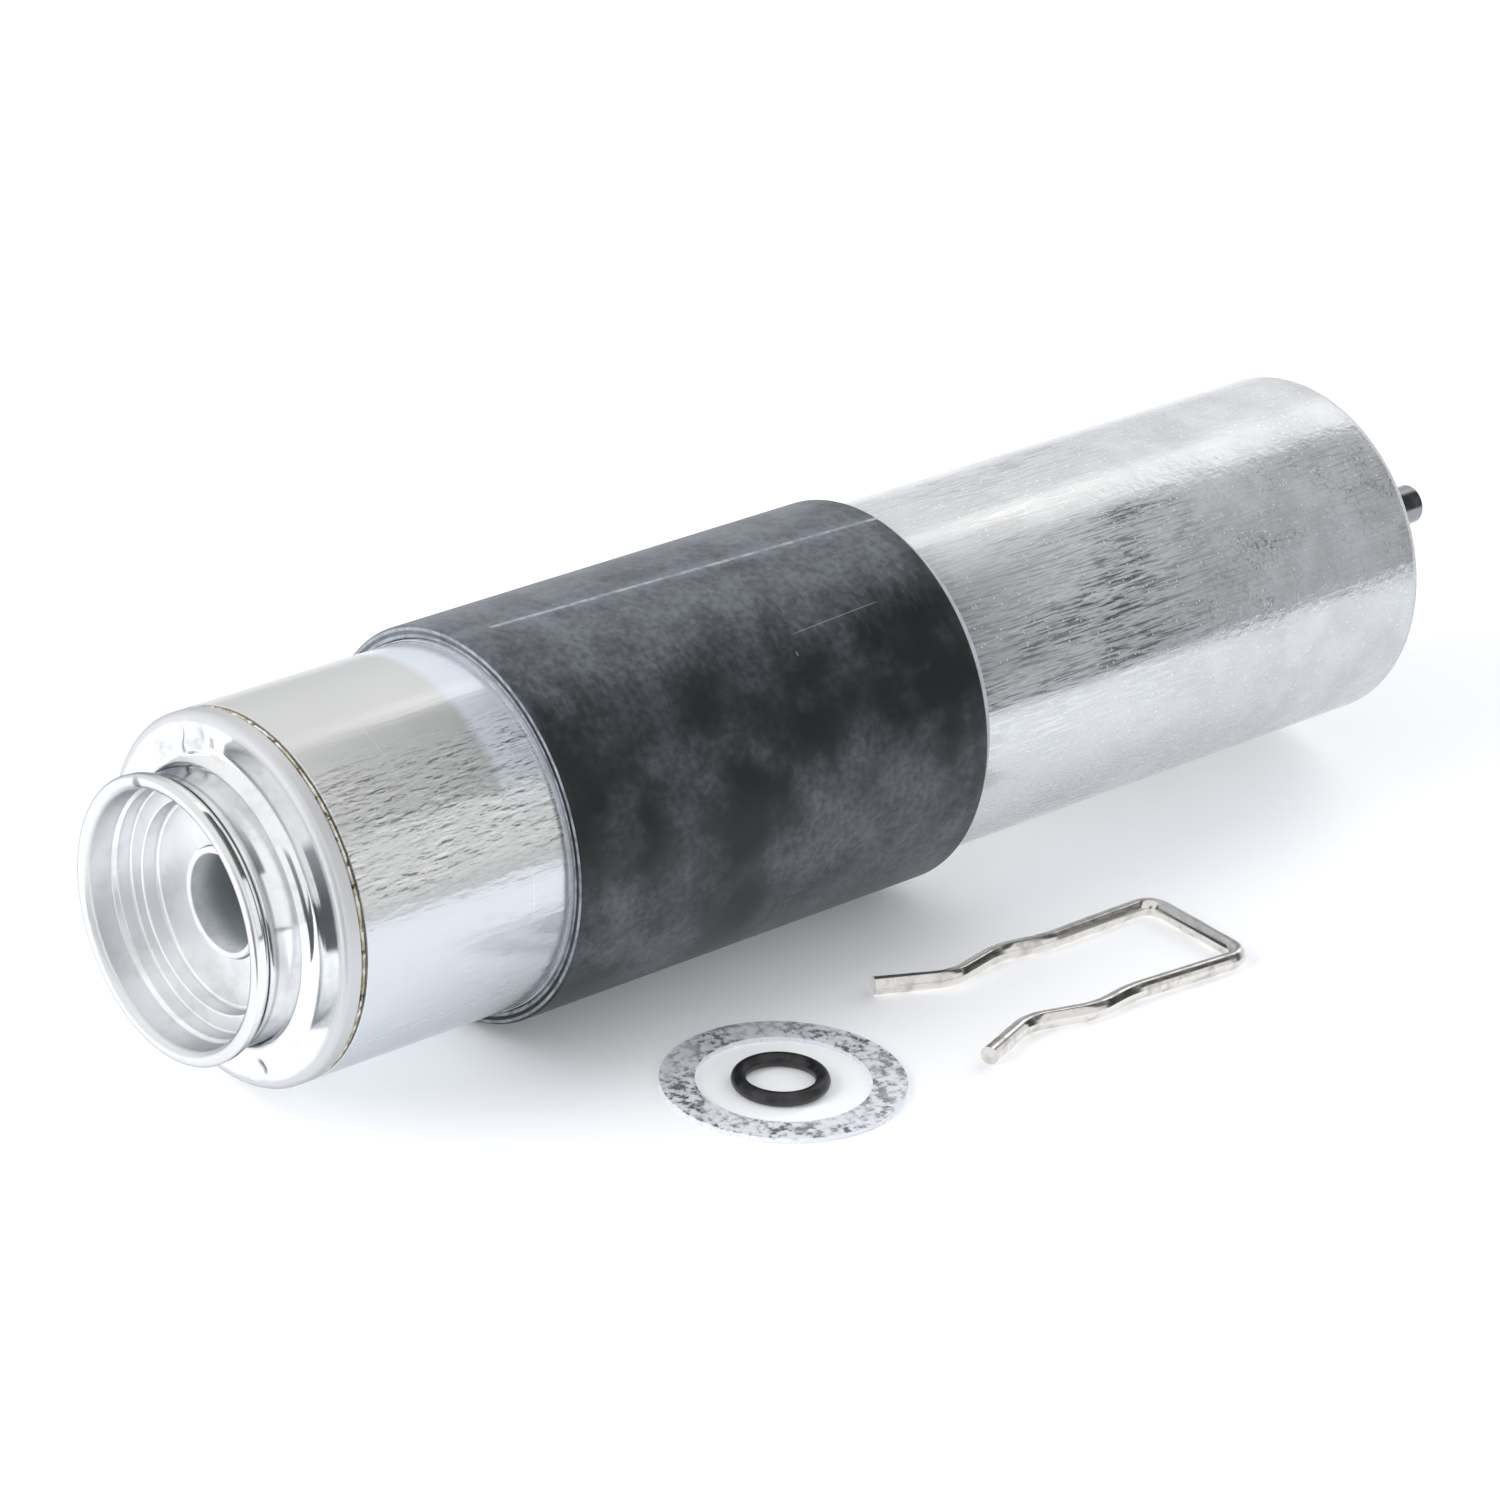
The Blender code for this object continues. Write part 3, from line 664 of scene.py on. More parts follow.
        # Painted shade: a thin dark line on the rounding of the can's rear rim.
        painted_rim_shade = along.step(*self.rear_edge) * out.step(*self.rear_ring)
        layers = (
            (patch, self.shaded(0.90)),
            (forward * 0.8, self.front),
            (painted_floor_reflection, self.floor_reflection_tint),
            (beside * 0.60, (0.40, 0.40, 0.41)),
            (stains, self.shaded(0.68)),
            (hairs | scuffs, (0.86, 0.86, 0.86)),
            (film * 0.75, (0.70, 0.75, 0.82)),
            (light * 0.70, (0.92, 0.92, 0.93)),
            (dark * 0.92, (0.16, 0.16, 0.155)),
            (painted_rim_shade * 0.6, (0.25, 0.26, 0.27)),
        )
        paint.put("Base Color", paint.layer(self.colour, layers))
        bare = paint.math("SUBTRACT", marks, scuffs * 0.6, clamp=True)
        bare = paint.math("SUBTRACT", bare, hairs * 0.8, clamp=True)
        skin = bare | forward * (self.front_skin - self.skin) * film.span(1.0, 0.2)
        paint.put("Metallic", skin.span(self.skin, 1.0))
        paint.put("Roughness", bare.span(self.roughness, self.burnished))
        normal = paint.bump(paint.grain(1100.0, 16.0)[1], 0.000028)
        normal = paint.bump(paint.noise(paint.where, 650.0, 3.0, 0.6) * rearward, 0.00009, normal)
        waves = paint.grain(700.0, 3.0)[1] * (forward * angle.step(0.85, 0.62))
        paint.put("Normal", paint.bump(waves, 0.00010, normal))


@dataclass(frozen=True)
class PolishedAluminium(Finish):
    """Turned and polished head: fine lathe rings, duller in its socket, on its lip and on its satin rim."""

    socket_radius: float = 0.0190
    socket_roughness: float = 0.31
    socket_skin: float = 0.84
    lip_front: float = -0.0889
    lip_shade: float = 0.86
    flange_front: float = -0.0792
    smear_edge: tuple[float, float] = (0.0212, 0.0220)
    stakes: tuple[tuple[float, float, float], ...] = (
        (107.0, 0.0224, 0.0042),
        (127.0, 0.0230, 0.0040),
        (-70.0, 0.0240, 0.0022),
    )
    rim_radius: float = 0.0255
    rim_width: float = 0.0009
    ring_station: float = -0.0853
    # Places of small pits, each given a dark dot of painted shade, with its reach.
    dents: tuple[tuple[Point, float], ...] = (
        ((-0.0809, 0.00652, 0.05106), 0.0009),
        ((-0.0897, 0.00635, 0.0486), 0.0012),
    )
    rim_roughness: float = 0.30
    rim_skin: float = 0.62

    def crumple(self, paint: Paint) -> tuple[Signal, Signal, Signal]:
        """Return the folds round the stake marks.

        Args:
            paint: the material's nodes.

        Returns:
            The folds' height, the mask of the painted shade in their folds and pits, and the mask of where
            they lie.
        """
        masks = []
        for degrees, radius, reach in self.stakes:
            angle = math.radians(degrees)
            place = (self.flange_front, -radius * math.cos(angle), AXIS_HEIGHT + radius * math.sin(angle))
            masks.append(paint.near(place, reach, 0.1 * reach))
        near = functools.reduce(operator.or_, masks) * paint.spot[1].step(*self.smear_edge)
        # Painted shade in the folds of the stake marks, and dark dots of painted shade in the pits.
        painted_dent_shade = paint.noise(paint.where, 300.0, 2.0).step(0.42, 0.70) * near * 0.7
        for place, reach in self.dents:
            painted_dent_shade = painted_dent_shade | paint.near(place, reach, 0.4 * reach)
        return paint.noise(paint.where, 290.0, 0.5) * near, painted_dent_shade, near

    def detail(self, paint: Paint) -> None:
        """Add lathe rings, the duller socket and lip, the satin rim, the stake marks and the painted shade in
        their folds and pits.

        Args:
            paint: the material's nodes.
        """
        along, out, _ = paint.spot
        rings = paint.noise(out * 2600.0, 1.0, 2.0)
        inside = out.step(self.socket_radius + 0.0005, self.socket_radius)
        rim = out.step(self.rim_radius, self.rim_radius + self.rim_width)
        patch = paint.clouds(160.0, 0.45, 0.7)
        lip = along.step(self.lip_front + 0.0002, self.lip_front)
        band = abs(along - self.ring_station).step(0.0005, 0.0001) * (1.0 - inside)
        folds, painted_dent_shade, near = self.crumple(paint)
        layers = (
            (patch, self.shaded(0.86)),
            (rim, self.shaded(0.68)),
            (lip, self.shaded(self.lip_shade)),
            (band * 0.55, (0.36, 0.37, 0.38)),
            (painted_dent_shade * 0.8, (0.22, 0.23, 0.25)),
        )
        paint.put("Base Color", paint.layer(self.colour, layers))
        rough = inside.span(self.roughness, self.socket_roughness) + lip * 0.18 + patch * 0.03
        paint.put("Roughness", rough + near * 0.34 + rim * self.rim_roughness)
        paint.put("Metallic", rim.span(1.0, self.rim_skin) * inside.span(1.0, self.socket_skin))
        normal = paint.bump(rings, 0.000004)
        normal = paint.bump(paint.grain(1500.0, 4.0)[1] * rim, 0.00003, normal)
        paint.put("Normal", paint.bump(folds, 0.0006, normal))


@dataclass(frozen=True)
class TurnedAluminium(Finish):
    """Plain turned aluminium with lathe lines along it, and painted shade beyond a depth if it is a pipe."""

    unshaded_to: float = 1.0
    shade_from: float = 2.0
    bore_shade: Colour = (0.34, 0.37, 0.38)

    def detail(self, paint: Paint) -> None:
        """Add lathe lines, soft stains and the painted shade deep in a bore.

        Args:
            paint: the material's nodes.
        """
        along, _, _ = paint.spot
        patch = paint.clouds(220.0)
        # Painted shade: darker deeper in the bore.
        layers = ((patch, self.shaded(0.8)), (along.step(self.unshaded_to, self.shade_from), self.bore_shade))
        paint.put("Base Color", paint.layer(self.colour, layers))
        paint.put("Roughness", patch.span(self.roughness, self.roughness + 0.12))
        paint.put("Normal", paint.bump(paint.noise(along * 4200.0, 1.0, 2.0), 0.000004))


@dataclass(frozen=True)
class ChalkyRubber(Finish):
    """Sleeve rubber: charcoal with a bluish bloom in patches and painted sheen in bands round it, paler rings
    on its ends, dust.
    """

    bloom: Colour = (0.178, 0.193, 0.216)
    ring: Colour = (0.40, 0.43, 0.47)
    half_length: float = 0.0391
    rings: tuple[tuple[float, float], ...] = ((0.0281, 0.00025), (0.0292, 0.00016))
    sheen_bands: tuple[tuple[float, float], ...] = ((46.0, 76.0), (84.0, 114.0), (32.0, 4.0))
    clean_end: tuple[float, float] = (0.0352, 0.0366)
    radius: float = 0.0297
    scores: tuple[Score, ...] = (
        (0.0090, 52.8, 0.0272, 54.4, 0.00013),
        (0.0082, 46.9, 0.0086, 46.9, 0.00050),
    )

    def bloom_and_sheen(self, paint: Paint) -> Signal:
        """Return how much bloom and painted sheen lie on the rubber: most on top, some low down, least
        between them, as the light falls.

        Args:
            paint: the material's nodes.

        Returns:
            The share of bloom and painted sheen, from 0 to 1.
        """
        along, _, angle = paint.spot
        soft = paint.clouds(34.0, 0.38, 0.64, 2.5)
        sheen_angle = angle + (paint.grain(300.0, 0.35)[1] - 0.5) * 0.42
        # Painted sheen: lighter bands on top and low down, darker between, as the light falls. The clouds
        # below are the bloom.
        top, crest, low = (sheen_angle.step(math.radians(start), math.radians(stop)) for start, stop in self.sheen_bands)
        share = soft * 0.20 + paint.clouds(85.0, 0.45, 0.72, 3.0) * 0.20
        share = share + top * 0.50 + crest * 0.46 + low * soft.span(0.0, 1.6) * 0.21
        # Paler bloom and a painted highlight along the moulding line's ridge.
        line = math.radians(LINE_ANGLE) - along * math.radians(LINE_SLANT)
        share = share + abs(angle - line).step(0.075, 0.005) * 0.42
        share = share * paint.clouds(150.0, 0.30, 0.70, 3.0).span(0.60, 1.25)
        share = share * along.step(*self.clean_end).span(1.0, 0.55)
        share = share * paint.clouds(900.0, 0.30, 0.70, 4.0).span(0.60, 1.30)
        return paint.math("TANH", share * 1.08, clamp=True)

    def detail(self, paint: Paint) -> None:
        """Add bloom with painted sheen, end rings, dust and a leathery grain.

        Args:
            paint: the material's nodes.
        """
        along, out, _ = paint.spot
        bloom_and_sheen = self.bloom_and_sheen(paint)
        end = abs(along).step(self.half_length - 0.0004, self.half_length - 0.0002)
        inner, outer = (abs(out - radius).step(half + 0.00012, half) for radius, half in self.rings)
        pale = (inner | outer) * paint.clouds(500.0, 0.3, 0.7).span(0.35, 1.0)
        layers = (
            (bloom_and_sheen, self.bloom),
            (paint.specks(160.0, 0.05, 0.03), (0.6, 0.6, 0.6)),
            (paint.scratches(self.radius, self.scores) * 0.28, self.ring),
            (pale * end, self.ring),
        )
        paint.put("Base Color", paint.layer(self.colour, layers))
        paint.put("Roughness", bloom_and_sheen.span(self.roughness, self.roughness + 0.16))
        paint.put("Normal", paint.bump(paint.noise(paint.where, 2600.0, 3.0, 0.6), 0.00002))


@dataclass(frozen=True)
class MottledMetal(Finish):
    """Loose flat ring: a pale dull skin, worn through to bright wavy metal in small blotches."""

    worn: Colour = (0.72, 0.74, 0.78)

    def detail(self, paint: Paint) -> None:
        """Add the worn blotches and the waves.

        Args:
            paint: the material's nodes.
        """
        bare = paint.clouds(780.0, 0.42, 0.62) * paint.clouds(75.0, 0.30, 0.62).span(0.25, 1.0)
        paint.put("Base Color", paint.blend(bare, self.colour, self.worn))
        paint.put("Metallic", bare.span(0.15, 0.9))
        paint.put("Roughness", bare.span(self.roughness, 0.18))
        paint.put("Normal", paint.bump(paint.noise(paint.where, 900.0, 3.0, 0.55), 0.00010))


@dataclass(frozen=True)
class ResinPaper(Finish):
    """Pleated paper, stiffened with resin."""

    fibre: Colour = (0.92, 0.84, 0.62)

    def detail(self, paint: Paint) -> None:
        """Add fibres and uneven resin.

        Args:
            paint: the material's nodes.
        """
        mask, height = paint.grain(2600.0, 4.0)
        layers = ((mask * 0.35, self.fibre), (paint.clouds(90.0), self.shaded(0.78)))
        paint.put("Base Color", paint.layer(self.colour, layers))
        paint.put("Normal", paint.bump(height, 0.00003))


@dataclass(frozen=True)
class SheetSteel(Finish):
    """Thin plated sheet with rolling lines."""

    def detail(self, paint: Paint) -> None:
        """Add rolling lines and stains.

        Args:
            paint: the material's nodes.
        """
        mask, height = paint.grain(1500.0, 20.0)
        paint.put("Base Color", paint.blend(paint.clouds(140.0), self.colour, self.shaded(0.75)))
        paint.put("Roughness", mask.span(self.roughness, self.roughness + 0.15))
        paint.put("Normal", paint.bump(height, 0.00001))


@dataclass(frozen=True)
class LumpySkin(Finish):
    """Set sealant or adhesive, pressed fibre or a mould's flash: a second tone in patches, and fine lumps."""

    patch: tuple[float, float, float] = (450.0, 0.4, 0.6)
    dulling: float = 0.0
    lumps: tuple[float, float, float] | None = (1400.0, 3.0, 0.00006)


@dataclass(frozen=True)
class DrawnWire(Finish):
    """Drawn wire: bright metal with soft stains and fine lines."""

    metallic: float = 1.0
    patch: tuple[float, float, float] = (350.0, 0.45, 0.7)
    shade: float = 0.72
    dulling: float = 0.14
    lines: tuple[float, float, float] | None = (3000.0, 10.0, 0.000008)


CAN = DrawnAluminium("can_drawn_aluminium", (0.71, 0.72, 0.725), 0.20, 0.38, glance=(0.62, 0.62, 0.63))
HEAD = PolishedAluminium("head_polished_aluminium", (0.91, 0.92, 0.93), 0.11, 1.0, glance=(0.25, 0.26, 0.28))
TUBE = TurnedAluminium(
    "tube_turned_aluminium", (0.84, 0.86, 0.88), 0.36, 0.25, unshaded_to=-0.0790, shade_from=-0.0750
)
NIPPLE = TurnedAluminium("nipple_turned_aluminium", (0.27, 0.28, 0.29), 0.22, 1.0)
SEALANT = LumpySkin(
    "seam_sealant_set", (0.52, 0.42, 0.24), 0.45, tint=(0.90, 0.86, 0.76), dots=(0.09, 0.08, 0.05)
)
ADHESIVE = LumpySkin("pleat_adhesive_set", (0.62, 0.58, 0.46), 0.6, tint=(0.74, 0.70, 0.60))
SLEEVE = ChalkyRubber("sleeve_chalky_rubber", (0.006, 0.0075, 0.009), 0.42, specular=0.30)
# The moulding line is paler rubber: partly bloom and partly a painted highlight of its ridge.
MOULD_LINE = LumpySkin("mould_line_rubber", (0.20, 0.215, 0.235), 0.6, tint=(0.33, 0.35, 0.375))
LINER = Finish("liner_film_grey", (0.58, 0.60, 0.63), 0.38)
SEAL = Finish(
    "seal_moulded_rubber",
    (0.010, 0.010, 0.011),
    0.34,
    patch=(500.0, 0.4, 0.65),
    tint=(0.030, 0.030, 0.031),
    dulling=0.15,
    lumps=(3000.0, 2.0, 0.00001),
)
RING = MottledMetal("ring_mottled_metal", (0.86, 0.87, 0.90), 0.45, 0.15)
CLIP = DrawnWire("clip_plated_wire", (0.72, 0.70, 0.67), 0.14)
SPRING = DrawnWire("spring_drawn_wire", (0.52, 0.52, 0.54), 0.28)
PAPER = ResinPaper("paper_resin", (0.72, 0.54, 0.24), 0.85)
STRIP = SheetSteel("strip_folded_steel", (0.56, 0.56, 0.57), 0.38, 1.0)
SUPPORT = SheetSteel("support_plated_steel", (0.58, 0.58, 0.60), 0.36, 1.0)
DISC = SheetSteel("disc_tinplate_sheet", (0.62, 0.62, 0.63), 0.30, 1.0)
FIBRE = LumpySkin("washer_red_fibre", (0.26, 0.07, 0.04), 0.8, tint=(0.36, 0.13, 0.08))


# Modelling by hand

CENTRE = Vector((0.0, 0.0, AXIS_HEIGHT))


def round_axis(along: float, radius: float, angle: float) -> Vector:
    """Return a point round the filter's axis, with the angle in radians from the camera's side upwards."""
    return CENTRE + Vector((along, -radius * math.cos(angle), radius * math.sin(angle)))


def deselect() -> None:
    """Leave edit mode and deselect every object."""
    if bpy.context.mode != "OBJECT":
        bpy.ops.object.mode_set(mode="OBJECT")
    bpy.ops.object.select_all(action="DESELECT")


def start_point(name: str, point: Vector) -> Piece:
    """Start a new piece as a single vertex, in edit mode.

    Args:
        name: the piece's name.
        point: where the vertex goes.

    Returns:
        The new object, at the origin.
    """
    deselect()
    bpy.ops.mesh.primitive_plane_add(size=0.001, location=(0.0, 0.0, 0.0))
    piece = bpy.context.object
    piece.name = piece.data.name = name
    bpy.ops.object.mode_set(mode="EDIT")
    bpy.ops.mesh.select_mode(type="VERT")
    bpy.ops.mesh.select_all(action="SELECT")
    bpy.ops.mesh.merge(type="CENTER")
    bpy.ops.transform.translate(value=point)
    return piece


def select_vertices(piece: Piece, test: Callable[[Vector], bool]) -> int:
    """Select the vertices whose place passes a test, in edit mode.

    Args:
        piece: the object in edit mode.
        test: says whether a place is wanted.

    Returns:
        How many vertices are selected.
    """
    bpy.ops.mesh.select_mode(type="VERT")
    bpy.ops.mesh.select_all(action="DESELECT")
    mesh = bmesh.from_edit_mesh(piece.data)
    chosen = [vertex for vertex in mesh.verts if test(vertex.co)]
    for vertex in chosen:
        vertex.select = True
    mesh.select_flush(True)
    bmesh.update_edit_mesh(piece.data)
    return len(chosen)


def draw_line(points: Sequence[Vector], closed: bool, piece: Piece) -> None:
    """Extrude the selected vertex along a line of points.

    Args:
        points: the line's points. The first one is where the vertex is.
        closed: whether the last point joins the first one.
        piece: the object in edit mode.
    """
    for here, there in zip(points, points[1:]):
        bpy.ops.mesh.extrude_region_move(TRANSFORM_OT_translate={"value": there - here})
    if closed:
        ends = (points[0], points[-1])
        select_vertices(piece, lambda place: any((place - end).length < MERGE_DISTANCE for end in ends))
        bpy.ops.mesh.edge_face_add()


def round_point(piece: Piece, point: Vector, reach: float, segments: int) -> None:
    """Round one corner of a line.

    Args:
        piece: the object in edit mode.
        point: the corner.
        reach: how far the rounding reaches along both lines.
        segments: edges along the rounding.
    """
    if select_vertices(piece, lambda place: (place - point).length < MERGE_DISTANCE):
        bpy.ops.mesh.bevel(offset=reach, offset_pct=0.0, segments=segments, affect="VERTICES")


def clean_up() -> None:
    """Merge doubles and turn the faces of the piece in edit mode outwards."""
    bpy.ops.mesh.select_all(action="SELECT")
    bpy.ops.mesh.remove_doubles(threshold=MERGE_DISTANCE)
    bpy.ops.mesh.normals_make_consistent(inside=False)


def close_up(piece: Piece) -> None:
    """Merge doubles, turn the faces outwards and smooth the piece.

    Args:
        piece: the object in edit mode.
    """
    clean_up()
    bpy.ops.object.mode_set(mode="OBJECT")
    bpy.ops.object.shade_smooth_by_angle(angle=SMOOTH_ANGLE)
    bpy.ops.object.modifier_add(type="WEIGHTED_NORMAL")
    modifier = piece.modifiers[-1]
    modifier.keep_sharp = True
    bpy.ops.object.modifier_apply(modifier=modifier.name)


def turn(
    name: str,
    corners: Sequence[Corner],
    steps: int,
    segments: int = 6,
    shape: Callable[[Piece], None] | None = None,
    centre: Vector = CENTRE,
    axis: TurnAxis = TurnAxis.LENGTHWISE,
) -> Piece:
    """Turn a closed profile about an axis.

    Args:
        name: the piece's name.
        corners: the profile's corners, in order round it.
        steps: faces round the axis.
        segments: edges along a rounded corner.
        shape: what is still done to the mesh in edit mode before it is closed up.
        centre: a point of the axis, from which stations count.
        axis: direction of the axis.

    Returns:
        The turned piece.
    """
    if axis is TurnAxis.LENGTHWISE:
        points = [centre + Vector((corner.along, 0.0, corner.out)) for corner in corners]
    else:
        points = [centre + Vector((corner.out, 0.0, corner.along)) for corner in corners]
    piece = start_point(name, points[0])
    draw_line(points, True, piece)
    for corner, point in zip(corners, points):
        if corner.fillet > 0.0:
            round_point(piece, point, corner.fillet, segments)
    bpy.ops.mesh.select_all(action="SELECT")
    bpy.ops.mesh.spin(steps=steps, angle=math.tau, center=centre, axis=axis.value)
    clean_up()
    if shape is not None:
        shape(piece)
    close_up(piece)
    return piece


def bend_wire(name: str, points: Sequence[Vector], diameter: float, bends: Sequence[float] = ()) -> Piece:
    """Bend a round wire along a line of points.

    Args:
        name: the piece's name.
        points: the line's points.
        diameter: the wire's diameter.
        bends: reach of the rounding at each point, 0 for none.

    Returns:
        The wire as a closed mesh.
    """
    piece = start_point(name, points[0])
    draw_line(points, False, piece)
    for point, reach in zip(points, bends):
        if reach > 0.0:
            round_point(piece, point, reach, BEND_SEGMENTS)
    bpy.ops.object.mode_set(mode="OBJECT")
    bpy.ops.object.convert(target="CURVE")
    curve = bpy.context.object.data
    curve.bevel_depth = diameter / 2
    curve.bevel_resolution = WIRE_RESOLUTION
    curve.use_fill_caps = True
    bpy.ops.object.convert(target="MESH")
    piece = bpy.context.object
    bpy.ops.object.mode_set(mode="EDIT")
    close_up(piece)
    return piece


def dress(piece: Piece, finish: Finish) -> None:
    """Give a piece one finish.

    Args:
        piece: a new piece or a node of the frame.
        finish: its finish.
    """
    piece.data.materials.clear()
    piece.data.materials.append(finish.material())


def hand_over(piece: Piece, body: str, finish: Finish, node: str | None = None) -> None:
    """Dress a new piece, let it ride on a body and stand for its node.

    Args:
        piece: the new piece.
        body: the body it moves with.
        finish: its finish.
        node: the node it stands for, if any.
    """
    dress(piece, finish)
    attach(piece, body)
    if node is not None:
        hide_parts(node)
    LOG.info("%s: %d faces on %s", piece.name, len(piece.data.polygons), body)


# Sub-assemblies


@dataclass
class FilterBody:
    """Can, head, inlet tube, seam and outlet nipple."""

    can_radius: float = 0.0275
    can_inner: float = 0.0265
    can_front: float = -0.0754
    can_rear: float = 0.1349
    bottom_inner: float = 0.1333
    nipple_hole: float = 0.0053
    corner: float = 0.0020
    steps: int = 224

    lip_radius: float = 0.0212
    lip_taper: float = 0.00012
    neck_radius: float = 0.0202
    socket_radius: float = 0.0189
    seat_radius: float = 0.0183
    well_radius: float = 0.0156
    boss_bore: float = 0.0082
    boss_radius: float = 0.0098
    plug_radius: float = 0.0262
    plug_inner: float = 0.0230
    groove_radius: float = 0.0243
    lip_front: float = -0.0897
    lip_rear: float = -0.0876
    waist: float = -0.0846
    flange_front: float = -0.0792
    flange_rear: float = -0.0764
    flange_rings: tuple[float, ...] = (0.0228, 0.0234, 0.0240, 0.0246, 0.0252, 0.0258)
    seat_step: float = -0.0851
    seat_floor: float = -0.0821
    well_floor: float = -0.0794
    web_rear: float = -0.0774
    boss_rear: float = -0.0714
    groove_front: float = -0.07225
    groove_rear: float = -0.07005
    plug_rear: float = -0.0659

    stakes: tuple[tuple[float, float, float, float, float], ...] = (
        (106.0, 0.0240, 0.0006, 0.0030, -0.0003),
        (112.0, 0.0226, -0.0004, 0.0018, 0.0002),
        (101.0, 0.0246, -0.00012, 0.0026, 0.0001),
        (96.0, 0.0234, 0.00015, 0.0028, -0.0001),
        (116.0, 0.0248, 0.0004, 0.0020, 0.0),
        (-70.0, 0.0244, 0.0008, 0.0024, -0.0003),
        (-64.0, 0.0236, -0.0005, 0.0015, 0.0003),
        (-76.0, 0.0252, -0.0004, 0.0014, 0.0002),
    )

    bead_front: float = -0.0761
    bead_rear: float = -0.0757
    bead_radius: float = 0.0273
    bead_inner: float = 0.0265
    bead_rim: float = 0.0269
    bead_spread: float = 0.00012

    tube_bore: float = 0.0072
    tube_radius: float = 0.0079
    tube_front: float = -0.0800
    rim_radius: float = 0.00814
    rim_rear: float = -0.0786
    tube_rear: float = -0.0621
    roll_radius: float = 0.0090
    roll_front: float = -0.0711
    roll_rear: float = -0.0697
    tube_steps: int = 128

    nipple_front: float = 0.1221
    nipple_rear: float = 0.1615
    nipple_bore: float = 0.0022
    inlet_radius: float = 0.0046
    collar_ends: tuple[float, float] = (0.1302, 0.1317)
    collar_radius: float = 0.0080
    stem_radius: float = 0.0050
    shoulder_ends: tuple[float, float] = (0.1352, 0.1366)
    shoulder_radius: float = 0.0066
    hose_radius: float = 0.0032
    hose_bead: tuple[float, float, float, float] = (0.1531, 0.1536, 0.1550, 0.1555)
    hose_bead_radius: float = 0.0037
    nipple_steps: int = 96

    def build_can(self) -> Piece:
        """Return the drawn can, open towards the head."""
        corners = (
            Corner(self.can_front, self.can_radius, 0.00015),
            Corner(self.can_rear, self.can_radius, self.corner),
            Corner(self.can_rear, self.nipple_hole, 0.0002),
            Corner(self.bottom_inner, self.nipple_hole),
            Corner(self.bottom_inner, self.can_inner, self.corner / 2),
            Corner(self.can_front, self.can_inner, 0.00015),
        )
        return turn("can_shell", corners, self.steps)

    def build_head(self) -> Piece:
        """Return the turned head with its lip, neck, flange and stepped socket."""
        corners = (
            Corner(self.lip_front, self.lip_radius, 0.0008),
            Corner(self.lip_rear, self.lip_radius - self.lip_taper, 0.0005),
            Corner(self.lip_rear + 0.0009, self.neck_radius + 0.0001, 0.0005),
            Corner(self.waist, self.neck_radius - 0.0002, 0.0014),
            Corner(self.flange_front, self.neck_radius + 0.0001, 0.0022),
            *(Corner(self.flange_front, radius) for radius in self.flange_rings),
            Corner(self.flange_front, self.can_radius, 0.0011),
            Corner(self.flange_rear, self.can_radius, 0.0002),
            Corner(self.flange_rear, self.plug_radius),
            Corner(self.groove_front, self.plug_radius),
            Corner(self.groove_front, self.groove_radius),
            Corner(self.groove_rear, self.groove_radius),
            Corner(self.groove_rear, self.plug_radius),
            Corner(self.plug_rear, self.plug_radius, 0.0004),
            Corner(self.plug_rear, self.plug_inner, 0.0002),
            Corner(self.web_rear, self.plug_inner, 0.0008),
            Corner(self.web_rear, self.boss_radius, 0.0005),
            Corner(self.boss_rear, self.boss_radius, 0.0002),
            Corner(self.boss_rear, self.boss_bore),
            Corner(self.well_floor, self.boss_bore, 0.00025),
            Corner(self.well_floor, self.well_radius, 0.0006),
            Corner(self.seat_floor, self.well_radius, 0.0003),
            Corner(self.seat_floor, self.seat_radius, 0.0004),
            Corner(self.seat_step + 0.0006, self.seat_radius, 0.0002),
            Corner(self.seat_step, self.socket_radius, 0.0002),
            Corner(self.lip_front + 0.0008, self.socket_radius, 0.0004),
            Corner(self.lip_front, self.socket_radius + 0.0008, 0.0004),
        )
        return turn("turned_head", corners, self.steps, shape=self.stake)

    def stake(self, piece: Piece) -> None:
        """Press the stake marks into the flange's face, as a pattern of small dents.

        Args:
            piece: the head, in edit mode.
        """
        for degrees, radius, depth, reach, aside in self.stakes:
            angle = math.radians(degrees)
            out = Vector((0.0, -math.cos(angle), math.sin(angle)))
            spot = round_axis(self.flange_front, radius, angle)
            places = [vertex.co.copy() for vertex in bmesh.from_edit_mesh(piece.data).verts]
            nearest = min(places, key=lambda place: (place - spot).length)
            select_vertices(piece, lambda place: (place - nearest).length < MERGE_DISTANCE)
            bpy.ops.transform.translate(
                value=Vector((depth, 0.0, 0.0)) + aside * out,
                use_proportional_edit=True,
                proportional_edit_falloff="SMOOTH",
                proportional_size=reach,
                use_proportional_connected=True,
            )

    def build_tube(self) -> Piece:
        """Return the thin inlet tube, rolled behind the head's boss."""
        corners = (
            Corner(self.tube_front, self.rim_radius, 0.0003),
            Corner(self.rim_rear, self.rim_radius),
            Corner(self.rim_rear, self.tube_radius),
            Corner(self.roll_front, self.tube_radius),
            Corner(self.roll_front, self.roll_radius, 0.0003),
            Corner(self.roll_rear, self.roll_radius, 0.0003),
            Corner(self.roll_rear, self.tube_radius),
            Corner(self.tube_rear, self.tube_radius, 0.0002),
            Corner(self.tube_rear, self.tube_bore, 0.0002),
            Corner(self.tube_front, self.tube_bore, 0.0003),
        )
        return turn("inlet_pipe", corners, self.tube_steps)

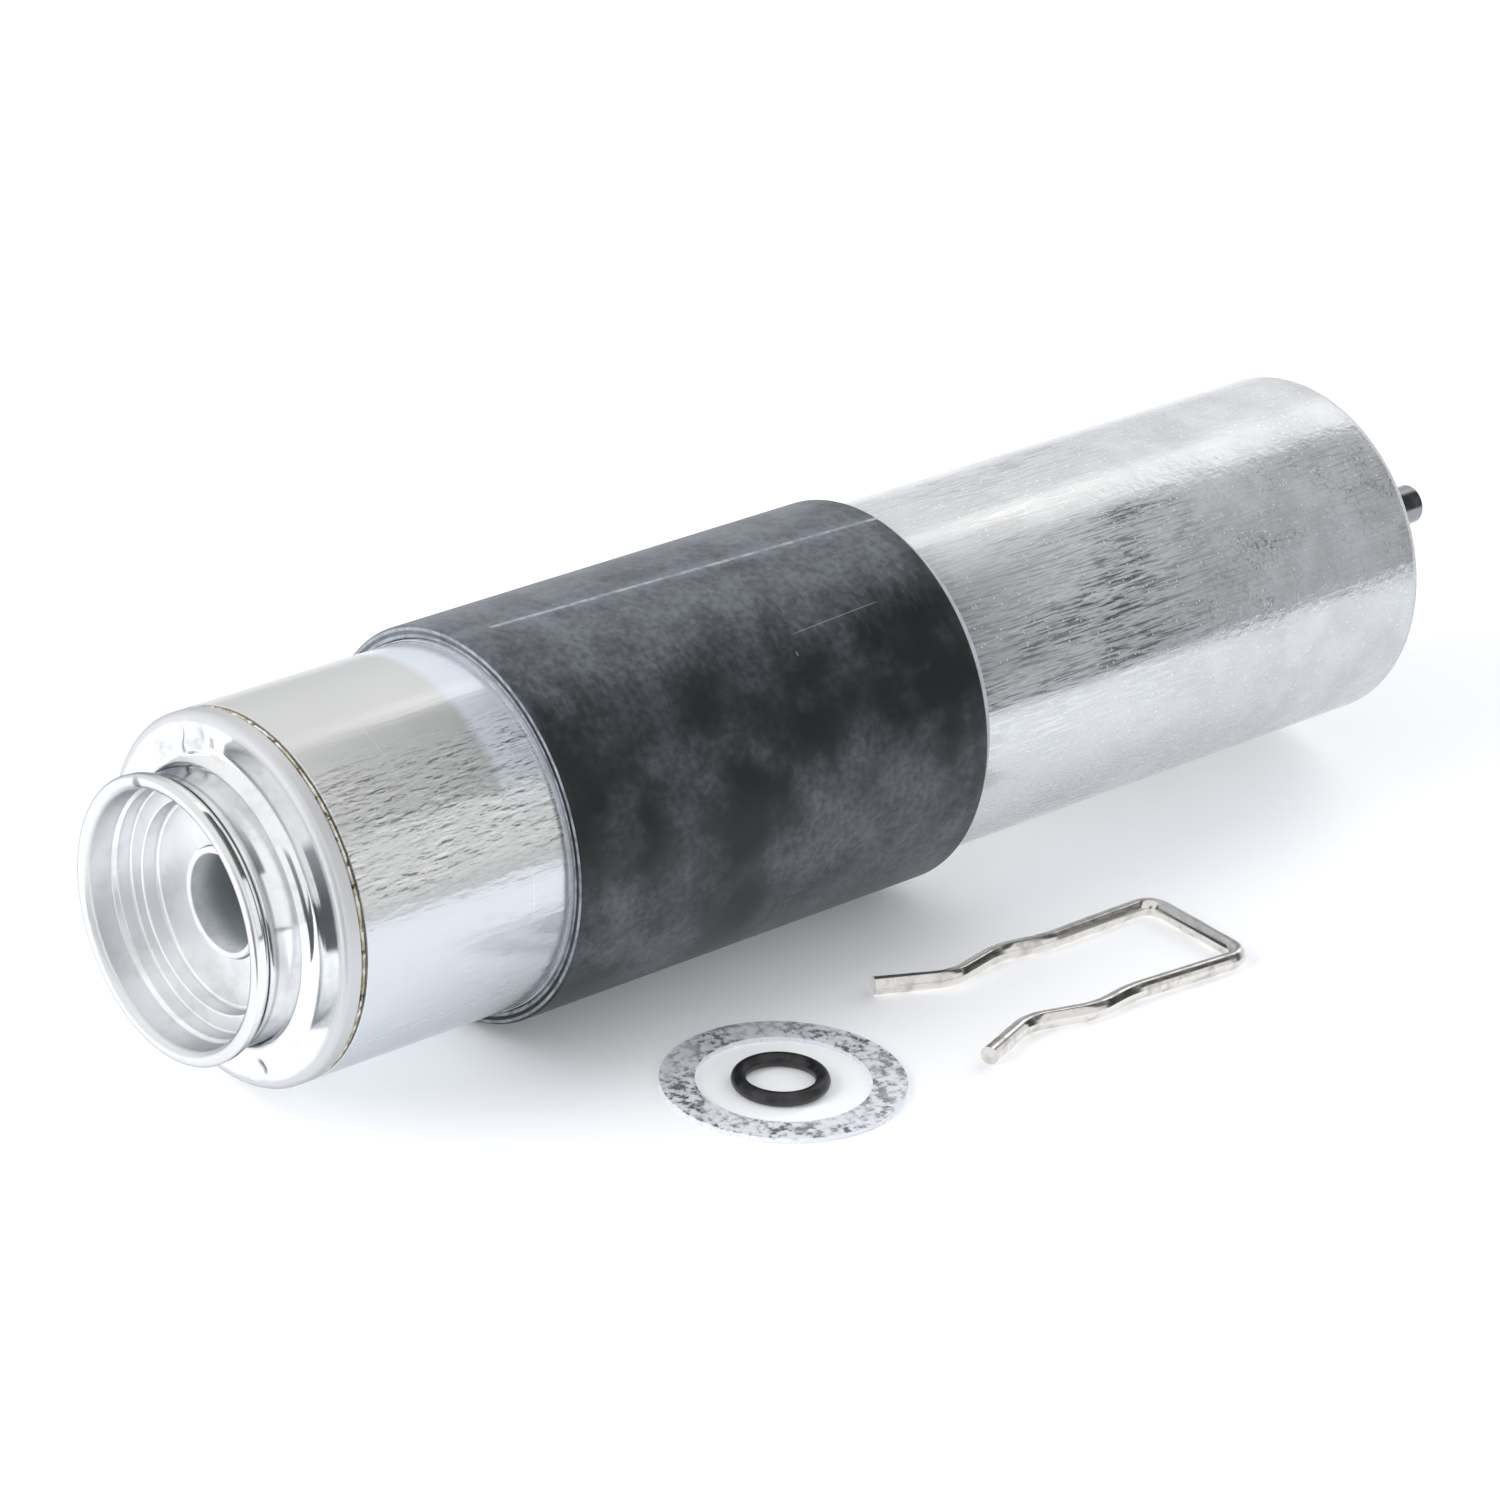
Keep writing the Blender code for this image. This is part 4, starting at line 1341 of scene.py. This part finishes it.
    def build_seam(self) -> Piece:
        """Return the uneven line of sealant between can and flange."""
        corners = (
            Corner(self.bead_front, self.bead_inner),
            Corner(self.bead_front, self.bead_radius, 0.00012),
            Corner(self.bead_rear, self.bead_radius, 0.00012),
            Corner(self.bead_rear, self.bead_inner),
        )

        def roughen(piece: Piece) -> None:
            """Push the bead's outer points about a little."""
            select_vertices(piece, lambda place: math.hypot(place.y, place.z - AXIS_HEIGHT) > self.bead_rim)
            bpy.ops.transform.vertex_random(offset=self.bead_spread, uniform=0.1, normal=0.0, seed=7)

        return turn("seam_line", corners, self.steps, 3, roughen)

    def build_nipple(self) -> Piece:
        """Return the hose nipple with its shoulder, hose bead and inner collar."""
        collar, collar_rear = self.collar_ends
        shoulder, shoulder_rear = self.shoulder_ends
        rise, top, top_rear, fall = self.hose_bead
        corners = (
            Corner(self.nipple_front, self.inlet_radius, 0.0004),
            Corner(collar, self.inlet_radius),
            Corner(collar, self.collar_radius, 0.0002),
            Corner(collar_rear, self.collar_radius, 0.0002),
            Corner(collar_rear, self.stem_radius),
            Corner(shoulder, self.stem_radius),
            Corner(shoulder, self.shoulder_radius, 0.0003),
            Corner(shoulder_rear, self.shoulder_radius, 0.0004),
            Corner(shoulder_rear, self.hose_radius, 0.0008),
            Corner(rise, self.hose_radius, 0.0006),
            Corner(top, self.hose_bead_radius, 0.0004),
            Corner(top_rear, self.hose_bead_radius, 0.0004),
            Corner(fall, self.hose_radius, 0.0006),
            Corner(self.nipple_rear, self.hose_radius, 0.0005),
            Corner(self.nipple_rear, self.nipple_bore, 0.0002),
            Corner(self.nipple_front, self.nipple_bore),
        )
        return turn("hose_nipple", corners, self.nipple_steps)

    def build(self) -> None:
        """Build and dress every piece of the body."""
        hand_over(self.build_can(), "filter", CAN, "filter_can")
        hand_over(self.build_head(), "filter", HEAD, "inlet_head")
        hand_over(self.build_tube(), "filter", TUBE, "inlet_tube")
        hand_over(self.build_seam(), "filter", SEALANT, "seam_bead")
        hand_over(self.build_nipple(), "filter", NIPPLE, "outlet_nipple")


@dataclass
class Sleeve:
    """Rubber sleeve with its thin liner and its moulding line."""

    radius: float = AXIS_HEIGHT
    inner: float = 0.0278
    half_length: float = 0.0391
    edge: float = 0.0006
    liner_inner: float = 0.02756
    liner_outer: float = 0.02768
    liner_front: float = -0.0397
    liner_rear: float = 0.0412
    line_diameter: float = 0.0018
    line_sink: float = 0.00083
    line_ends: tuple[float, float] = (-0.0330, 0.0386)
    line_points: int = 12
    steps: int = 224

    def build_rubber(self) -> Piece:
        """Return the moulded sleeve."""
        end = self.half_length
        corners = (
            Corner(-end, self.inner, 0.0003),
            Corner(-end, self.radius, self.edge),
            Corner(end, self.radius, self.edge),
            Corner(end, self.inner, 0.0003),
        )
        return turn("rubber_sleeve", corners, self.steps)

    def build_liner(self) -> Piece:
        """Return the thin film that shows at both ends of the sleeve, with ragged edges."""
        corners = (
            Corner(self.liner_front, self.liner_inner),
            Corner(self.liner_front, self.liner_outer),
            Corner(self.liner_rear, self.liner_outer),
            Corner(self.liner_rear, self.liner_inner),
        )

        def fray(piece: Piece) -> None:
            """Make both ends of the film a little ragged."""
            select_vertices(piece, lambda place: abs(place.x) > self.half_length)
            bpy.ops.transform.vertex_random(offset=0.00004, uniform=0.1, normal=0.0, seed=3)

        return turn("sleeve_liner", corners, self.steps, 3, fray)

    def build_line(self) -> Piece:
        """Return the low moulding line that runs along the top, slightly aslant."""
        start, stop = self.line_ends
        points = []
        for index in range(self.line_points + 1):
            along = start + (stop - start) * index / self.line_points
            angle = math.radians(LINE_ANGLE - LINE_SLANT * along)
            points.append(round_axis(along, self.radius - self.line_sink, angle))
        return bend_wire("moulding_line", points, self.line_diameter)

    def build(self) -> None:
        """Build and dress the sleeve's pieces."""
        hand_over(self.build_rubber(), "sleeve", SLEEVE, "mounting_sleeve")
        hand_over(self.build_liner(), "sleeve", LINER)
        hand_over(self.build_line(), "sleeve", MOULD_LINE)


@dataclass
class Element:
    """Pleated element inside the can, and the spring that presses it onto the nipple."""

    spring_start: float = -0.0763
    spring_stop: float = -0.0555
    spring_radius: float = 0.0114
    spring_wire: float = 0.0016
    spring_turns: int = 5
    spring_travel: float = 0.002
    turn_points: int = 28

    def build_spring(self) -> Piece:
        """Return the wound spring."""
        count = self.spring_turns * self.turn_points
        points = []
        for index in range(count + 1):
            angle = math.tau * index / self.turn_points
            along = self.spring_start + (self.spring_stop - self.spring_start) * index / count
            aside = self.spring_radius * math.sin(angle)
            down = self.spring_radius * math.cos(angle)
            points.append(Vector((along, aside, AXIS_HEIGHT - down)))
        return bend_wire("wound_spring", points, self.spring_wire)

    def build(self, nodes: dict[str, Piece]) -> None:
        """Build the spring and dress the nodes that stay as they are.

        Args:
            nodes: the frame's nodes, by name.
        """
        spring = self.build_spring()
        hand_over(spring, "filter", SPRING, "element_spring")
        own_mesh(spring)
        kept = {
            "filter_paper": PAPER,
            "pleat_clip": STRIP,
            "support_tube": SUPPORT,
            "front_end_disc": DISC,
            "rear_end_disc": DISC,
            "front_bond": ADHESIVE,
            "rear_bond": ADHESIVE,
            "outlet_grommet": SEAL,
            "head_o_ring": SEAL,
            "outlet_washer": FIBRE,
        }
        for name, finish in kept.items():
            dress(nodes[name], finish)
            LOG.info("%s: dressed as %s", name, finish.name)


@dataclass
class LooseKit:
    """Flat seal ring, O-ring and wire clip that lie beside the filter."""

    ring_centre: tuple[float, float] = (-0.0150, -0.0468)
    ring_inner: float = 0.0127
    ring_outer: float = 0.01785
    ring_thickness: float = 0.0008
    ring_steps: int = 160
    cord_centre: tuple[float, float] = (-0.0158, -0.0470)
    cord_major: float = 0.00605
    cord_minor: float = 0.0011
    cord_line: float = 0.00003
    clip_base: tuple[float, float] = (0.0653, -0.0500)
    clip_turn: float = math.radians(-3.1)
    clip_wire: float = 0.0028
    clip_leg: tuple[Point, ...] = (
        (-0.0522, 0.0132, 0.0),
        (-0.0410, 0.0085, 0.0026),
        (-0.0300, 0.0113, 0.0026),
        (-0.0224, 0.0098, 0.0022),
        (0.0, 0.0107, 0.0032),
    )

    def build_ring(self) -> Piece:
        """Return the flat seal ring."""
        corners = (
            Corner(0.0, self.ring_inner, 0.0001),
            Corner(0.0, self.ring_outer, 0.0001),
            Corner(self.ring_thickness, self.ring_outer, 0.00015),
            Corner(self.ring_thickness, self.ring_inner, 0.00015),
        )
        return turn(
            "seal_ring_flat",
            corners,
            self.ring_steps,
            3,
            centre=Vector((*self.ring_centre, 0.0)),
            axis=TurnAxis.UPRIGHT,
        )

    def build_cord(self) -> Piece:
        """Return the O-ring with its fine moulding line."""
        deselect()
        bpy.ops.mesh.primitive_torus_add(
            major_segments=144,
            minor_segments=40,
            major_radius=self.cord_major,
            minor_radius=self.cord_minor,
            location=(*self.cord_centre, self.cord_minor),
        )
        piece = bpy.context.object
        piece.name = piece.data.name = "rubber_o_ring"
        bpy.ops.object.transform_apply(location=True, rotation=True, scale=True)
        bpy.ops.object.mode_set(mode="EDIT")
        outside = self.cord_major + self.cord_minor
        line = outside - self.cord_line / 10

        def on_line(place: Vector) -> bool:
            """Say whether a place is on the outer moulding line."""
            return math.hypot(place.x - self.cord_centre[0], place.y - self.cord_centre[1]) > line

        select_vertices(piece, on_line)
        grow = 1.0 + self.cord_line / outside
        middle = (*self.cord_centre, self.cord_minor)
        bpy.ops.transform.resize(value=(grow, grow, 1.0), center_override=middle)
        close_up(piece)
        return piece

    def build_clip(self) -> Piece:
        """Return the clip: a base bar and two legs with a bulge, a pinch and a flared tip."""
        legs = self.clip_leg + tuple((x, -y, reach) for x, y, reach in reversed(self.clip_leg))
        base = Matrix.Translation((*self.clip_base, self.clip_wire / 2))
        place = base @ Matrix.Rotation(self.clip_turn, 4, "Z")
        points = [place @ Vector((x, y, 0.0)) for x, y, _ in legs]
        return bend_wire("wire_clip", points, self.clip_wire, [reach for _, _, reach in legs])

    def build(self) -> None:
        """Build and dress the loose pieces."""
        hand_over(self.build_ring(), "seal_ring", RING, "flat_seal_ring")
        hand_over(self.build_cord(), "o_ring", SEAL, "port_o_ring")
        hand_over(self.build_clip(), "clip", CLIP, "retaining_clip")


# Studio


@dataclass(frozen=True)
class Card:
    """Card that only mirrors see, bent round the filter's axis, with soft ends and a soft top."""

    name: str
    reach: tuple[float, float]
    rise: tuple[float, float]
    low: Colour
    high: Colour
    soft: tuple[float, float] = (0.1, 0.1)
    crown: float = 0.02
    distance: float = 0.90
    slant: float = 0.0

    def front_edge(self, start: Vector) -> Piece:
        """Start the card with the edge that the rest of it is drawn from.

        Args:
            start: the edge's end towards the head.

        Returns:
            The card in edit mode, with its edge selected.
        """
        card = start_point(self.name, start)
        width = self.reach[1] - self.reach[0]
        bpy.ops.mesh.extrude_region_move(TRANSFORM_OT_translate={"value": (width, 0.0, 0.0)})
        bpy.ops.mesh.select_all(action="SELECT")
        return card

    def sheet(self) -> Piece:
        """Return the card's sheet, bent round the axis."""
        low, high = (math.radians(angle) for angle in self.rise)
        card = self.front_edge(round_axis(self.reach[0], self.distance, low))
        bpy.ops.mesh.spin(steps=24, angle=high - low, center=CENTRE, axis=TurnAxis.LENGTHWISE.value)
        bpy.ops.object.mode_set(mode="OBJECT")
        return card

    def tone(self, bench: NodeBench) -> Signal:
        """Return the card's brightness: low to high, white at its ends, its top and for scattered light.

        Args:
            bench: the card's node tree.

        Returns:
            The colour's signal.
        """
        along, aside, up = bench.coordinates().parts()
        top = AXIS_HEIGHT + self.distance * math.sin(min(math.pi / 2, math.radians(self.rise[1])))
        across = along - aside * self.slant
        left = across.step(self.reach[0] + self.soft[0], self.reach[0])
        right = across.step(self.reach[1] - self.soft[1], self.reach[1])
        above = up.step(top * (1.0 - self.crown), top)
        scattered = bench.math("GREATER_THAN", bench.run("ShaderNodeLightPath", output="Diffuse Depth"), 0.5)
        tone = bench.blend(up.step(0.0, top), self.low, self.high)
        return bench.blend(left | right | above | scattered, tone, WHITE)

    def build(self) -> None:
        """Make the card, which lights nothing and casts no shadow."""
        card = self.sheet()
        material = bpy.data.materials.new(self.name)
        material.use_nodes = True
        bench = NodeBench(material.node_tree)
        material.node_tree.nodes.clear()
        glow = bench.run("ShaderNodeEmission", self.tone(bench))
        bench.feed(bench.add("ShaderNodeOutputMaterial").inputs["Surface"], glow)
        card.data.materials.append(material)
        card.visible_camera = False
        card.visible_diffuse = False
        card.visible_shadow = False


@dataclass(frozen=True)
class FloorCard(Card):
    """Card that lies flat on the floor, from one line in front of the filter to another, maybe aslant."""

    crown: float = 0.0

    def sheet(self) -> Piece:
        """Return the card's flat sheet. Its rise is read as the distances in front of the axis."""
        near, far = self.rise
        card = self.front_edge(Vector((self.reach[0] - self.slant * near, -near, FLOOR_LIFT)))
        step = (self.slant * (near - far), near - far, 0.0)
        bpy.ops.mesh.extrude_region_move(TRANSFORM_OT_translate={"value": step})
        bpy.ops.object.mode_set(mode="OBJECT")
        return card


DARK = (0.055, 0.055, 0.060)
GREY = (0.06, 0.06, 0.06)
DIM = (0.11, 0.11, 0.125)
CARDS = (
    Card("dark_card", (0.64, 1.70), (-2.0, 95.0), DARK, DARK, (0.12, 0.20), 0.0),
    Card("grey_card", (0.50, 0.80), (44.0, 108.0), GREY, GREY, (0.04, 0.06), 0.0, 0.89),
    Card("camera_card", (-1.40, -0.42), (-2.0, 62.0), DIM, (0.32, 0.33, 0.35), (0.25, 0.20), 0.15),
    FloorCard("dark_floor", (0.14, 1.70), (0.20, 0.90), DARK, DARK, (0.10, 0.20)),
    FloorCard("camera_floor", (-1.10, -0.072), (0.055, 0.90), DIM, DIM, (0.25, 0.010), slant=0.62),
)


@dataclass
class Studio:
    """White floor, soft light all round, dark cards that the metal mirrors, and the camera."""

    fill: float = 0.80
    fill_colour: Colour = (0.95, 0.98, 1.035)
    floor_colour: Colour = (0.88, 0.88, 0.88)
    floor_glow: float = 0.12
    mirror_glow: float = 0.28
    bounce_glow: float = 1.0
    key_power: float = 0.42
    key_colour: Colour = (1.0, 0.975, 0.92)
    key_place: Point = (0.90, 0.31, 0.76)
    key_aim: Point = (0.08, 0.0, 0.03)
    key_size: tuple[float, float] = (0.70, 0.34)
    ends: tuple[tuple[str, float, float], ...] = (("left", -0.95, 8.5), ("right", 1.05, 5.0))
    end_size: tuple[float, float] = (0.7, 0.7)
    lens: float = 146.58
    eye: Point = (-0.53641, -0.61271, 0.41327)
    eye_right: Point = (0.75199, -0.65820, 0.03581)
    eye_up: Point = (0.25546, 0.34107, 0.90465)

    @staticmethod
    def rays(bench: NodeBench) -> tuple[Signal, Signal, Signal]:
        """Tell rays apart.

        Args:
            bench: the node tree of the world or of the floor.

        Returns:
            1 for rays of the camera, of mirrors and of glass, 1 for rays of mirrors, and how often the ray
            was scattered.
        """
        path = bench.add("ShaderNodeLightPath").outputs
        titles = ("Is Camera Ray", "Is Glossy Ray", "Is Transmission Ray", "Diffuse Depth")
        camera, mirror, glass, depth = (Signal(bench, path[title]) for title in titles)
        return camera | mirror | glass, mirror, depth

    def build_world(self) -> None:
        """Make the world: soft fill light, and plain white where it is seen."""
        world = bpy.data.worlds.new("studio")
        bpy.context.scene.world = world
        world.use_nodes = True
        bench = NodeBench(world.node_tree)
        world.node_tree.nodes.clear()
        soft = bench.run("ShaderNodeBackground", (*self.fill_colour, 1.0), self.fill)
        plain = bench.run("ShaderNodeBackground", (*WHITE, 1.0), 1.0)
        mix = bench.run("ShaderNodeMixShader", self.rays(bench)[0], soft, plain)
        bench.feed(bench.add("ShaderNodeOutputWorld").inputs["Surface"], mix)

    def build_floor(self) -> None:
        """Make the pale floor, which keeps the shadows."""
        deselect()
        bpy.ops.mesh.primitive_plane_add(size=8.0, location=(0.0, 0.0, 0.0))
        floor = bpy.context.object
        floor.name = "studio_floor"
        material = bpy.data.materials.new("floor_white")
        material.use_nodes = True
        bench = NodeBench(material.node_tree)
        seen, mirror, depth = self.rays(bench)
        scattered = mirror * bench.math("GREATER_THAN", depth, 0.5)
        glow = seen * mirror.span(self.floor_glow, self.mirror_glow)
        values = {
            "Base Color": (*self.floor_colour, 1.0),
            "Roughness": 1.0,
            "Specular IOR Level": 0.0,
            "Emission Color": (*WHITE, 1.0),
            "Emission Strength": glow + scattered * self.bounce_glow,
        }
        bench.wire(material.node_tree.nodes["Principled BSDF"], values, 0)
        floor.data.materials.append(material)

    @staticmethod
    def hang_lamp(
        name: str, place: Vector, aim: Vector, size: tuple[float, float], power: float, colour: Colour
    ) -> Piece:
        """Hang a soft rectangular lamp whose first side runs along X as far as it can.

        Args:
            name: the lamp's name.
            place: where it hangs.
            aim: the point it shines at.
            size: its two sides.
            power: its power in watts.
            colour: its colour.

        Returns:
            The lamp.
        """
        data = bpy.data.lights.new(name, "AREA")
        data.shape = "RECTANGLE"
        data.size, data.size_y = size
        data.energy = power
        data.color = colour
        lamp = bpy.data.objects.new(name, data)
        bpy.context.scene.collection.objects.link(lamp)
        ahead = (aim - place).normalized()
        across = Vector((1.0, 0.2, 0.0))
        across = (across - ahead * across.dot(ahead)).normalized()
        up = across.cross(ahead).normalized()
        turned = Matrix((across, -up, -ahead)).transposed().to_4x4()
        lamp.matrix_world = Matrix.Translation(place) @ turned
        return lamp

    def build_lamps(self) -> None:
        """Hang the softbox that the can mirrors and a lamp beyond each end."""
        place, aim = Vector(self.key_place), Vector(self.key_aim)
        self.hang_lamp("softbox", place, aim, self.key_size, self.key_power, self.key_colour)
        for name, along, power in self.ends:
            place, aim = Vector((along, 0.25, 0.55)), Vector((0.12 * along, -0.02, 0.0))
            self.hang_lamp(name, place, aim, self.end_size, power, WHITE).visible_glossy = False

    def build_camera(self) -> None:
        """Put the camera where the photograph was taken from."""
        data = bpy.data.cameras.new("camera")
        data.sensor_width = 36.0
        data.lens = self.lens
        data.clip_start = 0.01
        camera = bpy.data.objects.new("camera", data)
        bpy.context.scene.collection.objects.link(camera)
        right, up = Vector(self.eye_right), Vector(self.eye_up)
        back = right.cross(up).normalized()
        turned = Matrix((right, up, back)).transposed().to_4x4()
        camera.matrix_world = Matrix.Translation(self.eye) @ turned
        bpy.context.scene.camera = camera

    def build(self) -> None:
        """Build the studio."""
        bpy.context.scene.view_settings.view_transform = "Standard"
        self.build_world()
        self.build_floor()
        self.build_lamps()
        for card in CARDS:
            card.build()
        self.build_camera()
        LOG.info("studio: floor, lamps, cards and camera")


def main() -> None:
    """Load the frame, build the sub-assemblies in order and set the studio."""
    logging.basicConfig(level=logging.INFO, format="%(name)s: %(message)s")
    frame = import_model()
    Studio().build()
    FilterBody().build()
    Sleeve().build()
    Element().build(frame["nodes"])
    LooseKit().build()
    deselect()


if __name__ == "__main__":
    main()
